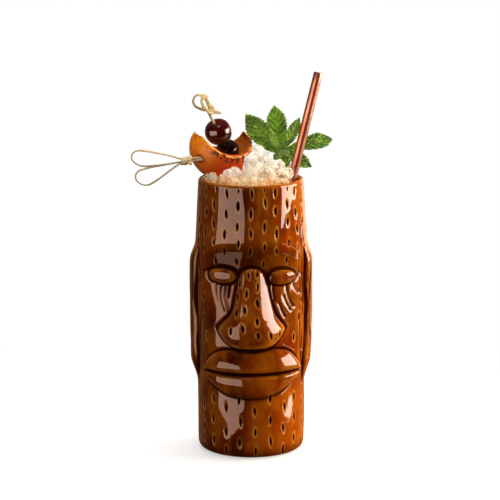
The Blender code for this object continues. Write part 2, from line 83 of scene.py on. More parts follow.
# the mug, as in the frame
MUG_COLUMNS = 368
FRONT_BUNCHING = 0.25  # how much closer together the columns stand on the face
MUG_TOP = 178.4  # where the walls end and the round rim begins
RIM_HIGH = 178.45  # height of the middle of the rim's round section
RIM_RADIUS = 1.55
FOOT_CORNER = 5
CAVITY_FLOOR = 7
OUTER_RADII = (
    (0, 34.5), (8, 34.9), (17, 35.05), (30, 35.1), (42, 35.15), (52, 35.5), (62, 36.3),
    (80, 36.9), (100, 37.1), (120, 37.1), (136, 36.7), (150, 35.9), (165, 35), (180, 34.1),
)
CAVITY_RADII = (
    (7, 30), (20, 31), (60, 32.4), (100, 33.1), (125, 33), (150, 32.3),
    (165, 31.6), (180, 31),
)
# from height, to height, step between rows
OUTSIDE_ROWS = ((MUG_TOP, 140, 1.05), (140, 112, 0.5), (112, 88, 0.75), (88, 40, 0.55),
                (40, 5, 1.1))

# the face, all on the front: lines as x and height, the nose's half widths and heights by height
BROW_EDGE = (
    (-38, 117), (-33, 121.2), (-29, 125), (-25, 127), (-20, 127.8), (-15, 127.3),
    (-11, 125.8), (-8.6, 124.3), (-5.5, 126.8), (0.5, 128.4), (6, 126.8), (10.8, 122.8),
    (14, 125.3), (18.5, 126.9), (23, 126.5), (28, 123.8), (33, 119.8), (38, 115.4),
)
NOSE_LEFT = ((80, 21.6), (84.5, 21.8), (88.5, 20.6), (92.6, 17.2), (97.3, 13.4), (103, 11.3),
             (110, 10.3), (116, 9.4), (124.4, 8.2), (130, 7))
NOSE_RIGHT = ((80, 22.2), (84.5, 22.6), (88, 21.6), (92.5, 18.4), (97, 15.6), (103, 13.6),
              (110, 12.2), (118, 11), (124.4, 9.9), (130, 8))
NOSE_HEIGHTS = ((73, 9.6), (80, 10.4), (88, 9.9), (98, 7.6), (110, 5.2), (122, 3.4),
                (130, 2.6))
NOSE_RIDGE = 4.8  # half the width of its flat front, higher up
BROW_ARCH = (118, 22.5, 35)  # foot height, rise and half width of the arch where the brow turns under
LIP_TOP = ((-29.4, 56), (-28.8, 61.5), (-26.8, 66.4), (-22.6, 70.4), (-18, 72.6), (-13, 73.3),
           (-6, 72.3), (1, 71.6), (8, 72.6), (15, 73.7), (20.6, 72.8), (25.2, 70.2),
           (28.4, 66.2), (30.2, 61.2), (30.8, 56))
LIP_BOTTOM = ((-29.4, 57.4), (-28.2, 53.2), (-25.4, 49), (-20.6, 44.8), (-14, 41.8), (-5, 40.6),
              (5, 40.4), (12, 41.2), (19.6, 44.4), (25.4, 48.8), (29.4, 53.4), (30.8, 57.4))
MOUTH_HEIGHT = 57.4
LID_HEIGHT = 3.3
FACE_FADE = (60, 76)  # degrees from the front over which the face ends
BROW_ROLL = (0.22, 0.11)  # slope of the brow as it turns under, and how much of it is lost farther down
SOCKET_DEPTH = 3
EDGE_FADE = (27, 36.5)  # the brow and eye sockets die out over these distances from the middle
EYES = (
    # centre x, centre height, half width, half height, tilt
    (-18.8, 121.3, 8.9, 5.2, 0.03),
    (20.4, 120.3, 8.9, 5.2, -0.02),
)
EAR_OUT = 3.2
EAR_ANGLE = 89  # of its middle, in degrees from the front
EAR_HALF_ANGLE = 19
FLUTES = (
    # upright grooves on and just before each ear: angle, width, depth, low end, high end
    (58.5, 1.5, 0.3, 60, 152), (64.5, 1.6, 0.6, 52, 156), (70.5, 1.7, 1.1, 44, 140),
    (76.5, 1.6, 0.8, 47, 137), (83, 1.8, 0.9, 49, 135), (90.5, 2, 0.7, 52, 133),
    (98.5, 2, 0.8, 50, 134), (108.5, 1.9, 1, 46, 138),
)
# grooves under the eyes: points (x, height), width, depth
TEAR_GROOVES = (
    (((-14.6, 116.4), (-14.8, 112), (-15.2, 108.2)), 0.75, 1),
    (((-17.4, 115.4), (-17.2, 108), (-15.4, 102), (-15, 98)), 0.7, 0.75),
    (((-20.8, 115.6), (-21, 109), (-19.6, 103), (-17.4, 98.6)), 0.7, 0.75),
    (((-24.4, 116.6), (-23.8, 111), (-22.4, 106), (-19.6, 101)), 0.7, 0.6),
    (((14.9, 114.6), (14.6, 110), (15.2, 105.8)), 0.7, 0.9),
    (((24, 115.4), (24.2, 109), (25.4, 104), (27.6, 100)), 0.75, 1),
    (((27.4, 116.4), (29, 112), (31, 108.4)), 0.7, 0.7),
    (((18.2, 103.4), (19.4, 99.4), (21.6, 94.6)), 0.75, 0.85),
    (((21.6, 107.6), (22.8, 103), (25.6, 98)), 0.75, 0.85),
)
# slots placed one by one, where the face leaves no room for the regular rows: x, height
FACE_SLOTS = (
    (-1.5, 122.6), (4, 123.6), (4, 115.4), (-2.6, 111.2), (3.6, 105.4), (-3.4, 101.2), (3.2, 94),
    (-4.2, 89.6), (-10.6, 87.4), (3.6, 85), (10.2, 84.4), (16, 84.4), (-19.2, 88.6), (-7.4, 117),
    (-8.4, 108.6), (-8.2, 99), (-30.4, 92), (-28.8, 80), (27.6, 79.4), (31, 92),
    (-30.6, 105), (32.4, 103),
)
UPPER_COLUMNS = 26  # columns of slots above the mouth, and below it
LOWER_COLUMNS = 22
SLOT_HALF_WIDTH = 0.96
SLOT_HALF_LENGTH = 3.15
SLOT_DEPTH = 1.15
SLOT_DIP = 0.07  # how far the glaze sinks round a slot
DEEPEST = 2.6  # from here on hollows grow hardly deeper, so that the wall stays whole

# the fruit shell, as in the frame
FRUIT_CENTRE = np.array((-19.6, 4, 199))
FRUIT_RADIUS = 20.6
FRUIT_HOLLOW = (19.3, 17.5, 17.5)
FRUIT_HOLLOW_LIFT = 1
FRUIT_LEFT_TIP = Vector((-36.6, -0.5, 210.6))
FRUIT_RIGHT_TIP = Vector((-4, 14, 208.8))
FRUIT_FRONT_MIDDLE = np.array((-17.6, -11.3, 200))  # on the front cut, which is a little bowed
FRUIT_FRONT_WAY = np.array(Vector((0.336, -0.352, 0.874)).normalized())
FRUIT_BACK_LOW = Vector((-10.3, 22.3, 200.4))

# the picks, as in the frame
LOOP_PICK_KNOT = np.array((-42, -15.6, 193.6))
LOOP_PICK_WAY = np.array(Vector((0.972, 0.23, 0.045)).normalized())
LOOP_PICK_REACH = 25
PICK_IN_FRUIT = 13.9  # from the small cherry's middle to the end of the knotted pick
LOOP_PICK_STEP = np.array((0, 2.8, 0))  # how far the shaft bows back before it enters the fruit

STRAW_SIDES = 56
ICE_VOXEL = 0.8
FRUIT_VOXEL = 0.36
LEAF_THICKNESS = 0.36
ICE_IOR = 1.31
ICE_COUNT = 28
CRUMBS = 120
CRUMB_TRIES = 900
CRUMB_REACH = 30.4  # of their outer side, from the middle of the mug
CRUMB_TOP = 189  # no crumb lies higher up the heap
STAIN = (0.192, 0.178)  # metres: the drink's stain on the ice begins and is full here
CHERRY_GRID = (56, 72)
CHERRY_HOLE = 1
# how the names begin of the pieces that the extra fill light falls on
GARNISH = ("ice_nugget", "ice_packed", "ice_crumbs", "fruit_shell", "leaf", "sprig", "knotted", "looped")
SHOOT_LEAVES = (
    # small leaves at the tip of the sprig: base, tip, half width, bow
    ((18.8, 8.4, 196.4), (14.4, 3, 188.4), 2.7, 1.4),
    ((19.8, 8.2, 197), (17.2, 2.6, 190.6), 2.9, 1.2),
    ((20.4, 8, 198.2), (19, 2.2, 203.6), 2.1, 0.6),
    ((21.4, 8.4, 197), (24.6, 4.2, 192.6), 2.3, 0.8),
)
# the paths of the pick strands: the knot in the frame, the loops from their own knot
KNOT_STRAND = (
    (-25.8, -11.5, 224.7), (-27.3, -13, 229.7), (-28.9, -13.4, 233.4), (-31.6, -12.8, 235.3),
    (-35.2, -12.2, 235.2), (-37.1, -12, 231.7), (-35.4, -12.2, 228.1), (-31.1, -11.6, 226.2),
    (-27.4, -9.6, 225.6), (-23.4, -10.4, 224.6), (-19.2, -10.8, 223.7),
)
KNOT_TWIST = (
    (-27.6, -11.6, 234), (-30.2, -13.2, 235), (-31.4, -14.6, 231.5), (-30, -14.8, 228),
    (-27.6, -14, 225.4), (-25.4, -12.4, 223.6), (-23.8, -10, 224.4), (-24.6, -9.2, 227),
    (-26.6, -10.2, 229.2),
)
LOOPS = (
    ((0, -0.4, 0.9), (-3, -0.5, 1.2), (-10, -0.8, 3.2), (-20, -1.2, 5.4), (-29, -1.4, 6.8),
     (-33.4, -1.4, 5.4), (-34.6, -1.4, 1.6), (-31.8, -1.4, -1.8), (-26.4, -1.4, -3.4),
     (-14, -1.2, -2.4), (-4, -0.6, -0.9), (0, -0.3, -0.2)),
    ((0, 0.5, -1.2), (-3.2, 0.4, -1.8), (-10, 0.2, -6.4), (-16.6, 0, -11.4),
     (-23.6, -0.2, -15.6), (-29, -0.2, -15.2), (-32.2, 0, -11.6), (-30.8, 0.2, -7.2),
     (-24, 0.4, -4.8), (-14, 0.5, -2.9), (-4, 0.5, -1), (0, 0.4, 0.2)),
)
LEAVES = ("left", "tall", "upper_right", "right", "low_right", "front", "young", "back", "back_right")

# lights: name, bearing, distance, height, width, tallness, glow, colour, height aimed at
CARDS = (
    ("left_card", -46, 1, 0.08, 1.12, 0.7, 4.2, (1, 0.66, 0.5), 0.08),
    ("right_card", 91, 1, 0.297, 0.94, 0.48, 12, (1, 0.87, 0.74), 0.297),
    ("right_low_card", 83, 1, -0.231, 0.52, 0.02, 11, (1, 0.84, 0.68), -0.231),
    ("right_rear_card", 152, 1, 0.14, 0.55, 0.64, 1.7, (1, 0.83, 0.6), 0.14),
    ("top_card", -10, 0.45, 1.15, 0.3, 0.2, 5, (1, 0.95, 0.88), 0.18),
)
LAMPS = (
    ("key", 98, 1.1, 0.35, 0.9, 1.1, 9, (1, 0.88, 0.66), 0.12),
    ("front_fill", 8, 1.6, 0.8, 1, 0.8, 1.8, (1, 0.96, 0.92), 0.16),
    ("overhead", 170, 0.15, 1.25, 1.1, 1.1, 4, (1, 0.98, 0.95), 0.15),
    ("behind", 150, 1.3, 0.55, 1.2, 0.9, 0.8, (1, 0.96, 0.92), 0.12),
    ("garnish_fill", -12, 1.5, 0.95, 1, 0.8, 3.6, (1, 0.97, 0.92), 0.2),
)


# ---- numbers ----

def ramp(low, high, value):
    """0 up to low, 1 from high on, smooth between; fall is the other way round."""
    part = np.clip((value - low) / (high - low), 0, 1)
    return part * part * (3 - 2 * part)


def fall(low, high, value):
    return 1 - ramp(low, high, value)


def dome(value, power=2, root=0.5):
    """1 at the middle, 0 from an edge of 1 outward."""
    return np.maximum(0, 1 - np.abs(value) ** power) ** root


def bell(value, width):
    """1 at 0, and about a third at a width from it."""
    return np.exp(-((value / width) ** 2))


def curve_at(pairs, value):
    """Smooth value of (place, value) pairs at any places, without overshoot."""
    x, y = np.array(pairs, float).T
    steps = np.diff(y) / np.diff(x)
    slopes = np.concatenate([steps[:1], np.zeros(len(x) - 2), steps[-1:]])
    both = steps[:-1] * steps[1:]
    total = np.where(both > 0, steps[:-1] + steps[1:], 1)
    slopes[1:-1] = np.where(both > 0, 2 * both / total, 0)
    at = np.clip(value, x[0], x[-1])
    i = np.clip(np.searchsorted(x, at, side="right") - 1, 0, len(x) - 2)
    wide = x[i + 1] - x[i]
    t = (at - x[i]) / wide
    return (y[i] * (1 + 2 * t) * (1 - t) ** 2 + slopes[i] * wide * t * (1 - t) ** 2
            + y[i + 1] * t * t * (3 - 2 * t) + slopes[i + 1] * wide * t * t * (t - 1))


def flow(points, count):
    """Catmull-Rom points through a list."""
    ends = np.array(points, float)
    ends = np.vstack([2 * ends[0] - ends[1], ends, 2 * ends[-1] - ends[-2]])
    made = []
    for a, b, c, d in zip(ends, ends[1:], ends[2:], ends[3:]):
        for t in np.arange(count) / count:
            made.append(0.5 * (2 * b + (c - a) * t + (2 * a - 5 * b + 4 * c - d) * t * t
                               + (3 * b - a - 3 * c + d) * t ** 3))
    made.append(ends[-2])
    return np.array(made)


def unit(ways):
    """Directions of length 1."""
    return ways / np.maximum(np.linalg.norm(ways, axis=-1, keepdims=True), 1e-9)


def beside(way, hint):
    """Two directions square to a way and to each other, the first square to the hint too."""
    side = unit(np.cross(way, hint))
    return side, np.cross(side, way)


def turns(count):
    """Angles all round, in radians."""
    return np.arange(count) * 2 * np.pi / count


def ragged(points, size, seed=0):
    """Smooth noise from -1 to 1 at each point, with lumps of about a size."""
    shift = Vector((seed * 3.1, seed * 1.7, -seed))
    return np.array([noise.noise(Vector(p) / size + shift) for p in points])


# ---- meshes ----

def sheet_faces(rows, columns, wrapped=False):
    """Quads over a grid of points, row by row."""
    across = columns if wrapped else columns - 1
    row, column = np.meshgrid(np.arange(rows - 1), np.arange(across), indexing="ij")
    row, column = row.ravel(), column.ravel()
    after = (column + 1) % columns
    quads = np.stack([row * columns + column, row * columns + after,
                      (row + 1) * columns + after, (row + 1) * columns + column], axis=1)
    return quads.tolist()


def ring_faces(rows, columns):
    """Quads over a grid that is closed both ways."""
    count = rows * columns
    return [[index % count for index in face] for face in sheet_faces(rows + 1, columns, wrapped=True)]


def capped_faces(rows, columns):
    """Quads over a wrapped grid, whose ends are closed by fans from the two points after it."""
    faces = sheet_faces(rows, columns, wrapped=True)
    first, end = rows * columns, (rows - 1) * columns
    for i in range(columns):
        after = (i + 1) % columns
        faces += [[first, after, i], [first + 1, end + i, end + after]]
    return faces


class Form:
    """Points and faces of one piece, gathered from several shapes, with named values at the points."""

    def __init__(self):
        self.points, self.faces, self.values, self.count = [], [], {}, 0

    def add(self, points, faces, **values):
        points = np.asarray(points, float).reshape(-1, 3)
        self.faces += [tuple(index + self.count for index in face) for face in faces]
        self.points.append(points)
        for name, value in values.items():
            kept = self.values.setdefault(name, [])
            kept.append((self.count, np.broadcast_to(value, (len(points),)).astype(float)))
        self.count += len(points)

    def strand(self, path, width, thick, facing, sides=12, **values):
        """A strand with a flattened round section; its flat side looks along facing."""
        path = np.asarray(path, float)
        ahead = unit(np.gradient(path, axis=0))
        across = unit(np.cross(ahead, np.broadcast_to(facing, path.shape)))
        up = np.cross(across, ahead)
        width = np.broadcast_to(width, len(path))[:, None, None] / 2
        thick = np.broadcast_to(thick, len(path))[:, None, None] / 2
        turn = turns(sides)
        ring = (path[:, None] + across[:, None] * np.cos(turn)[None, :, None] * width
                + up[:, None] * np.sin(turn)[None, :, None] * thick)
        points = np.vstack([ring.reshape(-1, 3), path[:1], path[-1:]])
        run = np.concatenate([[0], np.cumsum(np.linalg.norm(np.diff(path, axis=0), axis=1))])
        along = np.concatenate([np.repeat(run, sides), run[:1], run[-1:]])
        around = np.concatenate([np.tile(np.cos(turn), len(path)), [0, 0]])
        self.add(points, capped_faces(len(path), sides), along=along, around=around, **values)

    def build(self, name, material, body, slot, *replaced):
        mesh = bpy.data.meshes.new(name)
        mesh.from_pydata((np.vstack(self.points) * MM).tolist(), [], self.faces)
        for key, parts in self.values.items():
            whole = np.zeros(self.count, np.float32)
            for start, value in parts:
                whole[start:start + len(value)] = value
            mesh.attributes.new(key, "FLOAT", "POINT").data.foreach_set("value", whole)
        return show(mesh, name, material, body, slot, *replaced)


def show(mesh, name, material, body, slot, *replaced):
    """Put a finished mesh in the scene as a piece that rides on a body."""
    bm = bmesh.new()
    bm.from_mesh(mesh)
    bmesh.ops.recalc_face_normals(bm, faces=bm.faces)
    bm.to_mesh(mesh)
    bm.free()
    mesh.shade_smooth()
    mesh.materials.clear()
    mesh.materials.append(material)
    made = linked(name, mesh)
    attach(made, body)
    if replaced:
        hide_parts(*replaced)
    return made


def cloud(node):
    """The points of a frame node, in millimetres."""
    return np.array([v.co for v in frame["nodes"][node].data.vertices]) / MM


def axis_of(node):
    """Low end, high end and radius of a straight round node."""
    points = cloud(node)
    centre = points.mean(axis=0)
    way = np.linalg.svd(points - centre, full_matrices=False)[2][0]
    way = way if way[2] > 0 else -way
    along = (points - centre) @ way
    off = np.linalg.norm(points - centre - np.outer(along, way), axis=1)
    return centre + way * along.min(), centre + way * along.max(), off.max()


def middle_of(node):
    """Centre and half height of a frame node."""
    low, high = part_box(node)
    return np.array((low + high) / 2) / MM, (high - low).z / 2 / MM


def evaluated(source):
    """The mesh an object and its modifiers give, with the object removed."""
    bpy.context.view_layer.update()
    graph = bpy.context.evaluated_depsgraph_get()
    mesh = bpy.data.meshes.new_from_object(source.evaluated_get(graph))
    mesh.transform(source.matrix_world)
    bpy.data.objects.remove(source, do_unlink=True)
    return mesh


def loose(bm, name):
    """A helper object from a bmesh, to be used up by modifiers."""
    mesh = bpy.data.meshes.new(name)
    bm.to_mesh(mesh)
    bm.free()
    return linked(name, mesh)


def linked(name, data):
    """A new object in the scene."""
    made = bpy.data.objects.new(name, data)
    bpy.context.scene.collection.objects.link(made)
    return made


def modified(piece, kind, **settings):
    """Add a modifier with its settings."""
    step = piece.modifiers.new(kind.lower(), kind)
    for key, value in settings.items():
        setattr(step, key, value)


def welded(node):
    """A bmesh of a frame node with its doubled points joined."""
    bm = bmesh.new()
    bm.from_mesh(frame["nodes"][node].data)
    bmesh.ops.remove_doubles(bm, verts=bm.verts, dist=WELD * MM)
    return bm


def points_of(mesh):
    """Points and point normals of a mesh, the points in millimetres."""
    points = np.empty(len(mesh.vertices) * 3)
    mesh.vertices.foreach_get("co", points)
    normals = np.array([v.normal for v in mesh.vertices])
    return points.reshape(-1, 3) / MM, normals


def move_points(mesh, points):
    """Put a mesh's points at new places, given in millimetres."""
    mesh.vertices.foreach_set("co", (points * MM).astype(np.float32).ravel())
    mesh.update()


def value_on(mesh, name, values):
    """Store a named value at each point, for the material."""
    mesh.attributes.new(name, "FLOAT", "POINT").data.foreach_set("value", values.astype(np.float32))


# ---- materials ----

def srgb(red, green, blue):
    """A colour as seen on a screen, 0 to 255, as linear light."""
    def linear(value):
        value /= 255
        return value / 12.92 if value <= 0.04045 else ((value + 0.055) / 1.055) ** 2.4
    return (linear(red), linear(green), linear(blue), 1)


class Nodes:
    """A node tree, with a short call for each kind of node."""

    def __init__(self, owner):
        owner.use_nodes = True
        self.tree = owner.node_tree

    def feed(self, socket, value):
        if isinstance(value, bpy.types.NodeSocket):
            self.tree.links.new(value, socket)
        else:
            socket.default_value = value

    def node(self, kind, inputs=None, **settings):
        made = self.tree.nodes.new("ShaderNode" + kind)
        for key, value in settings.items():
            setattr(made, key, value)
        for key, value in (inputs or {}).items():
            self.feed(made.inputs[key], value)
        return made

    def mix(self, factor, *colours):
        """Two colours by a factor. One of three numbers is a screen colour, one of four is linear light."""
        first, second = (srgb(*c) if isinstance(c, tuple) and len(c) == 3 else c for c in colours)
        return self.node("MixRGB", {"Fac": factor, "Color1": first, "Color2": second}).outputs["Color"]


class Paint(Nodes):
    """The nodes of a material."""

    def __init__(self, name):
        self.material = bpy.data.materials.new(name)
        super().__init__(self.material)
        self.shader = self.tree.nodes["Principled BSDF"]
        self.place = self.node("TexCoord").outputs["Object"]

    def value(self, name):
        return self.node("Attribute", attribute_name=name).outputs["Fac"]

    def stretched(self, x, y, z):
        return self.node("Mapping", {"Vector": self.place, "Scale": (x, y, z)}).outputs["Vector"]

    def noise(self, scale, detail=3, rough=0.5, vector=None):
        inputs = {"Vector": vector or self.place, "Scale": scale, "Detail": detail, "Roughness": rough}
        return self.node("TexNoise", inputs).outputs["Fac"]

    def cells(self, scale, feature="F1"):
        inputs = {"Vector": self.place, "Scale": scale}
        return self.node("TexVoronoi", inputs, feature=feature).outputs["Distance"]

    def math(self, kind, a, b=0.5, clamp=False):
        return self.node("Math", {0: a, 1: b}, operation=kind, use_clamp=clamp).outputs[0]

    def times(self, a, b, clamp=False):
        return self.math("MULTIPLY", a, b, clamp)

    def between(self, value, low, high, to_low=0, to_high=1):
        inputs = {"Value": value, "From Min": low, "From Max": high, "To Min": to_low, "To Max": to_high}
        return self.node("MapRange", inputs, interpolation_type="SMOOTHSTEP").outputs["Result"]

    def over(self, under, colour, value, low, high, *amounts):
        """Lay a colour over another, where a value runs from low to high."""
        return self.mix(self.between(value, low, high, *amounts), under, colour)

    def bump(self, height, distance, strength=1):
        inputs = {"Height": height, "Distance": distance * MM, "Strength": strength}
        return self.node("Bump", inputs).outputs["Normal"]

    def finish(self, **inputs):
        for key, value in inputs.items():
            self.feed(self.shader.inputs[key.replace("_", " ")], value)
        return self.material

    def blend_shaders(self, factor, shader):
        """Show another shader over the main one, by a factor."""
        mixed = self.node("MixShader", {0: factor, 1: self.shader.outputs[0], 2: shader.outputs[0]})
        self.tree.links.new(mixed.outputs[0], self.tree.nodes["Material Output"].inputs["Surface"])


def glaze_material():
    """Amber glaze that breaks golden over edges and pools dark brown in the hollows, with painted shade in
    the dark parts, slots painted near black as shade, and a painted golden rim light where the surface is
    seen at a slant.
    """
    p = Paint("glaze")
    broad = p.noise(24, 3, 0.55, p.stretched(1, 1, 0.6))
    runs = p.noise(130, 4, 0.6, p.stretched(1, 1, 0.2))
    mottle = p.noise(70, 4, 0.55, p.stretched(1, 1, 0.7))
    colour = p.over((94, 18, 1), (152, 56, 2), broad, 0.36, 0.62)
    colour = p.over(colour, (180, 92, 6), mottle, 0.44, 0.66, 0, 0.7)
    colour = p.over(colour, (70, 12, 1), mottle, 0.44, 0.3, 0, 0.5)
    colour = p.over(colour, (184, 104, 12), runs, 0.45, 0.72, 0, 0.4)
    # painted rim light: the glaze turns golden where the surface is seen at a slant, standing in for light
    # from the side
    side = p.node("LayerWeight", {"Blend": 0.45}).outputs["Facing"]
    colour = p.over(colour, (206, 112, 14), side, 0.25, 0.95, 0, 0.55)
    broken = p.between(p.noise(160, 3), 0.35, 0.65, 0.12, 0.62)
    colour = p.mix(p.times(p.value("raised"), broken), colour, (204, 128, 30))
    ring = p.times(p.between(p.value("halo"), 0.1, 0.9), p.math("ADD", broken, 0.08), clamp=True)
    colour = p.mix(ring, colour, (218, 146, 54))
    # dark brown where the glaze pools in the hollows; the same value also carries painted shade under the
    # brow, the lower lip and the brow edge, and the darkening towards the foot
    recess = p.between(p.value("recess"), 0.05, 0.9, 0, 0.94)
    colour = p.mix(recess, colour, (42, 8, 1))
    # slots painted near black: glaze pools there, and the rest is painted shade in their depth
    slot = p.between(p.value("slot"), 0.1, 0.6, 0, 0.98)
    colour = p.mix(slot, colour, (24, 5, 1))
    walls = p.between(p.value("slot"), 0, 0.12)
    inside = p.between(p.value("inside"), 0.4, 1)
    colour = p.mix(inside, colour, (104, 46, 10))
    bare = p.between(p.value("bare"), 0.3, 0.7)
    colour = p.mix(bare, colour, p.mix(p.noise(400), (196, 168, 132), (224, 200, 168)))
    ripple = p.noise(150, 2)
    hidden = p.math("MAXIMUM", p.math("MAXIMUM", walls, recess), bare)
    return p.finish(
        Base_Color=colour, Roughness=p.between(bare, 0, 1, 0.5, 0.85), IOR=1.45,
        Specular_IOR_Level=0, Coat_Weight=p.between(hidden, 0, 0.85, 1, 0),
        Coat_Roughness=0.02, Coat_IOR=1.52, Normal=p.bump(ripple, 0.1),
        Coat_Normal=p.bump(ripple, 0.02))


def drink_material():
    """Cloudy amber drink."""
    p = Paint("drink_liquid")
    cloudy = p.noise(60, 3)
    return p.finish(Base_Color=p.mix(cloudy, (205, 140, 52), (226, 172, 88)), Roughness=0.05,
                    IOR=1.34, Transmission_Weight=0.6, Normal=p.bump(p.noise(160), 0.15))


def ice_material(name, frost_low, frost_high, sparkle):
    """Melting ice, cloudy at heart, stained amber low down, where the drink reaches it."""
    p = Paint(name)
    height = p.node("SeparateXYZ", {0: p.place}).outputs["Z"]
    frost = p.between(p.noise(170, 4, 0.6), 0.38, 0.62, frost_low, frost_high)
    stain = p.between(height, *STAIN)
    stain = p.times(stain, p.between(p.noise(130, 3), 0.34, 0.62, 0.2, 1))
    clear = p.mix(stain, (255, 253, 247), (248, 202, 138))
    white = p.mix(stain, (255, 252, 243), (246, 206, 150))
    facets = p.cells(330)
    grains = p.math("ADD", p.noise(260, 2, 0.5), p.times(facets, sparkle))
    normal = p.bump(grains, 0.16)
    p.finish(Base_Color=clear, Roughness=0.04, IOR=ICE_IOR, Transmission_Weight=1, Normal=normal)
    # the cloudy heart also glows faintly: painted light that brightens the ice
    cloud_shader = p.node("BsdfPrincipled", {
        "Base Color": white, "Roughness": 0.1, "IOR": ICE_IOR, "Subsurface Weight": 0.8,
        "Subsurface Radius": (1, 0.92, 0.84), "Subsurface Scale": 4 * MM, "Normal": normal,
        "Emission Color": white, "Emission Strength": 0.09})
    p.blend_shaders(frost, cloud_shader)
    return p.material


def copper_material():
    """Drawn copper-coloured metal, a little dulled."""
    p = Paint("copper_polished")
    tarnish = p.noise(60, 3, 0.5)
    colour = p.over((220, 150, 126), (192, 118, 92), tarnish, 0.35, 0.7)
    return p.finish(Base_Color=colour, Metallic=0.85, Roughness=0.3)


def fruit_material():
    """Peel, pale cut edge and flesh of the fruit shell, scorched along the front edge; the peel turns
    redder and darker toward the lower right, partly its own colour and partly painted shade, and there is
    painted shade round the pick's hole.
    """
    p = Paint("fruit_peel")
    # redder, darker peel toward the lower right: partly the peel's own colour, partly painted shade on the
    # side away from the light
    colour = p.over((255, 142, 8), (206, 62, 4), p.value("blush"), 0, 1)
    colour = p.over(colour, (220, 84, 8), p.noise(140, 4, 0.6), 0.4, 0.75, 0, 0.5)
    flesh = p.mix(p.noise(300, 4, 0.6), (226, 130, 44), (160, 78, 22))
    colour = p.mix(p.value("flesh"), colour, flesh)
    colour = p.over(colour, (246, 186, 92), p.value("edge"), 0.2, 0.8)
    specks = p.between(p.noise(380, 4, 0.7), 0.48, 0.55)
    patches = p.between(p.noise(170, 2), 0.32, 0.5)
    scorch = p.times(p.times(specks, patches), p.value("scorch"), clamp=True)
    colour = p.mix(scorch, colour, (52, 18, 6))
    # painted shade round the pick's hole
    colour = p.over(colour, (128, 26, 6), p.value("bruise"), 0.1, 0.7, 0, 0.85)
    pores = p.between(p.cells(620), 0, 0.35, 0, 1)
    return p.finish(Base_Color=colour, Roughness=0.38, Subsurface_Weight=0.25,
                    Subsurface_Radius=(1, 0.4, 0.1), Subsurface_Scale=2 * MM,
                    Specular_IOR_Level=0.28, Normal=p.bump(pores, 0.06, 0.6))


def cherry_material(name, dark, light):
    """Dark glossy skin with pale pin-point spots."""
    p = Paint(name)
    skin = p.noise(110, 4, 0.55)
    colour = p.over(dark, light, skin, 0.35, 0.7)
    colour = p.over(colour, (120, 40, 30), p.cells(900), 0, 0.16, 0.35, 0)
    return p.finish(Base_Color=colour, Roughness=0.16, Coat_Weight=0.8, Coat_Roughness=0.04,
                    Subsurface_Weight=0.1, Subsurface_Radius=(1, 0.1, 0.1),
                    Subsurface_Scale=1.5 * MM, Normal=p.bump(p.noise(260, 2), 0.08))


def bamboo_material(name, pale, deep):
    """Split bamboo with its fibres running along each strand."""
    p = Paint(name)
    place = p.node("CombineXYZ", {0: p.times(p.value("along"), 0.05),
                                  1: p.times(p.value("around"), 5),
                                  2: p.value("which")}).outputs[0]
    fibres = p.noise(3, 5, 0.65, place)
    colour = p.over(deep, pale, fibres, 0.34, 0.68)
    edges = p.between(p.math("ABSOLUTE", p.value("around")), 0.75, 1, 0, 0.55)
    colour = p.mix(edges, colour, deep)
    colour = p.over(colour, (150, 108, 62), p.noise(180, 3), 0.58, 0.72, 0, 0.5)
    return p.finish(Base_Color=colour, Roughness=0.52, Normal=p.bump(fibres, 0.16))


def mint_material(name, bright, deep, vein):
    """Green leaf, with painted shade in the hollows between its quilted puffs, paler along the veins."""
    p = Paint(name)
    blotch = p.noise(130, 3)
    colour = p.over(deep, bright, blotch, 0.3, 0.7)
    # painted shade: deeper green in the hollows between the puffs
    colour = p.over(colour, deep, p.value("puff"), 0, 0.6, 0.75, 0)
    colour = p.over(colour, vein, p.value("vein"), 0.25, 1, 0, 0.75)
    net = p.cells(360, feature="DISTANCE_TO_EDGE")
    colour = p.over(colour, vein, net, 0.02, 0.15, 0.2, 0)
    down = p.between(net, 0, 0.28)
    return p.finish(Base_Color=colour, Roughness=p.between(blotch, 0.2, 0.8, 0.34, 0.46),
                    Subsurface_Weight=0.12, Subsurface_Radius=(0.3, 1, 0.1),
                    Subsurface_Scale=1 * MM, Sheen_Weight=0.12, Normal=p.bump(down, 0.25))


# ---- mug ----

def stroke(x, z, points, width):
    """1 on a bent line, falling to 0 over its width."""
    near = np.full(x.shape, 1e6)
    path = flow([(*point, 0) for point in points], 5)[:, :2]
    for (ax, az), (bx, bz) in zip(path, path[1:]):
        length = (bx - ax) ** 2 + (bz - az) ** 2
        t = np.clip(((x - ax) * (bx - ax) + (z - az) * (bz - az)) / length, 0, 1)
        near = np.minimum(near, np.hypot(x - ax - t * (bx - ax), z - az - t * (bz - az)))
    return bell(near, width)


def nose_relief(x, z, above):
    """Height of the nose, a flat front between two steep flanks, and the groove that runs round it."""
    half = np.where(x < 0, curve_at(NOSE_LEFT, z), curve_at(NOSE_RIGHT, z))
    low = 74.2 + 11.8 * (np.abs(x) / 22.2) ** 3.4
    side = half - np.abs(x)
    top = -above - 1.3
    ridge = NOSE_RIDGE + 3 * fall(84, 102, z)
    part = np.clip(side / (half - ridge), 0, 1)
    power = 1.5 - 0.25 * ramp(88, 100, z)
    height = curve_at(NOSE_HEIGHTS, z) * (1 - (1 - part) ** power)
    height *= dome(1 - np.clip((z - low) / 9, 0, 1), 2)
    height *= dome(1 - np.clip(top / 3.2, 0, 1), 2)
    gap = np.minimum(side, np.minimum(z - low, top + 1))
    groove = bell(gap + 0.6, 0.85) * ramp(71, 74, z) * fall(-1, 0.5, above)
    return height, groove


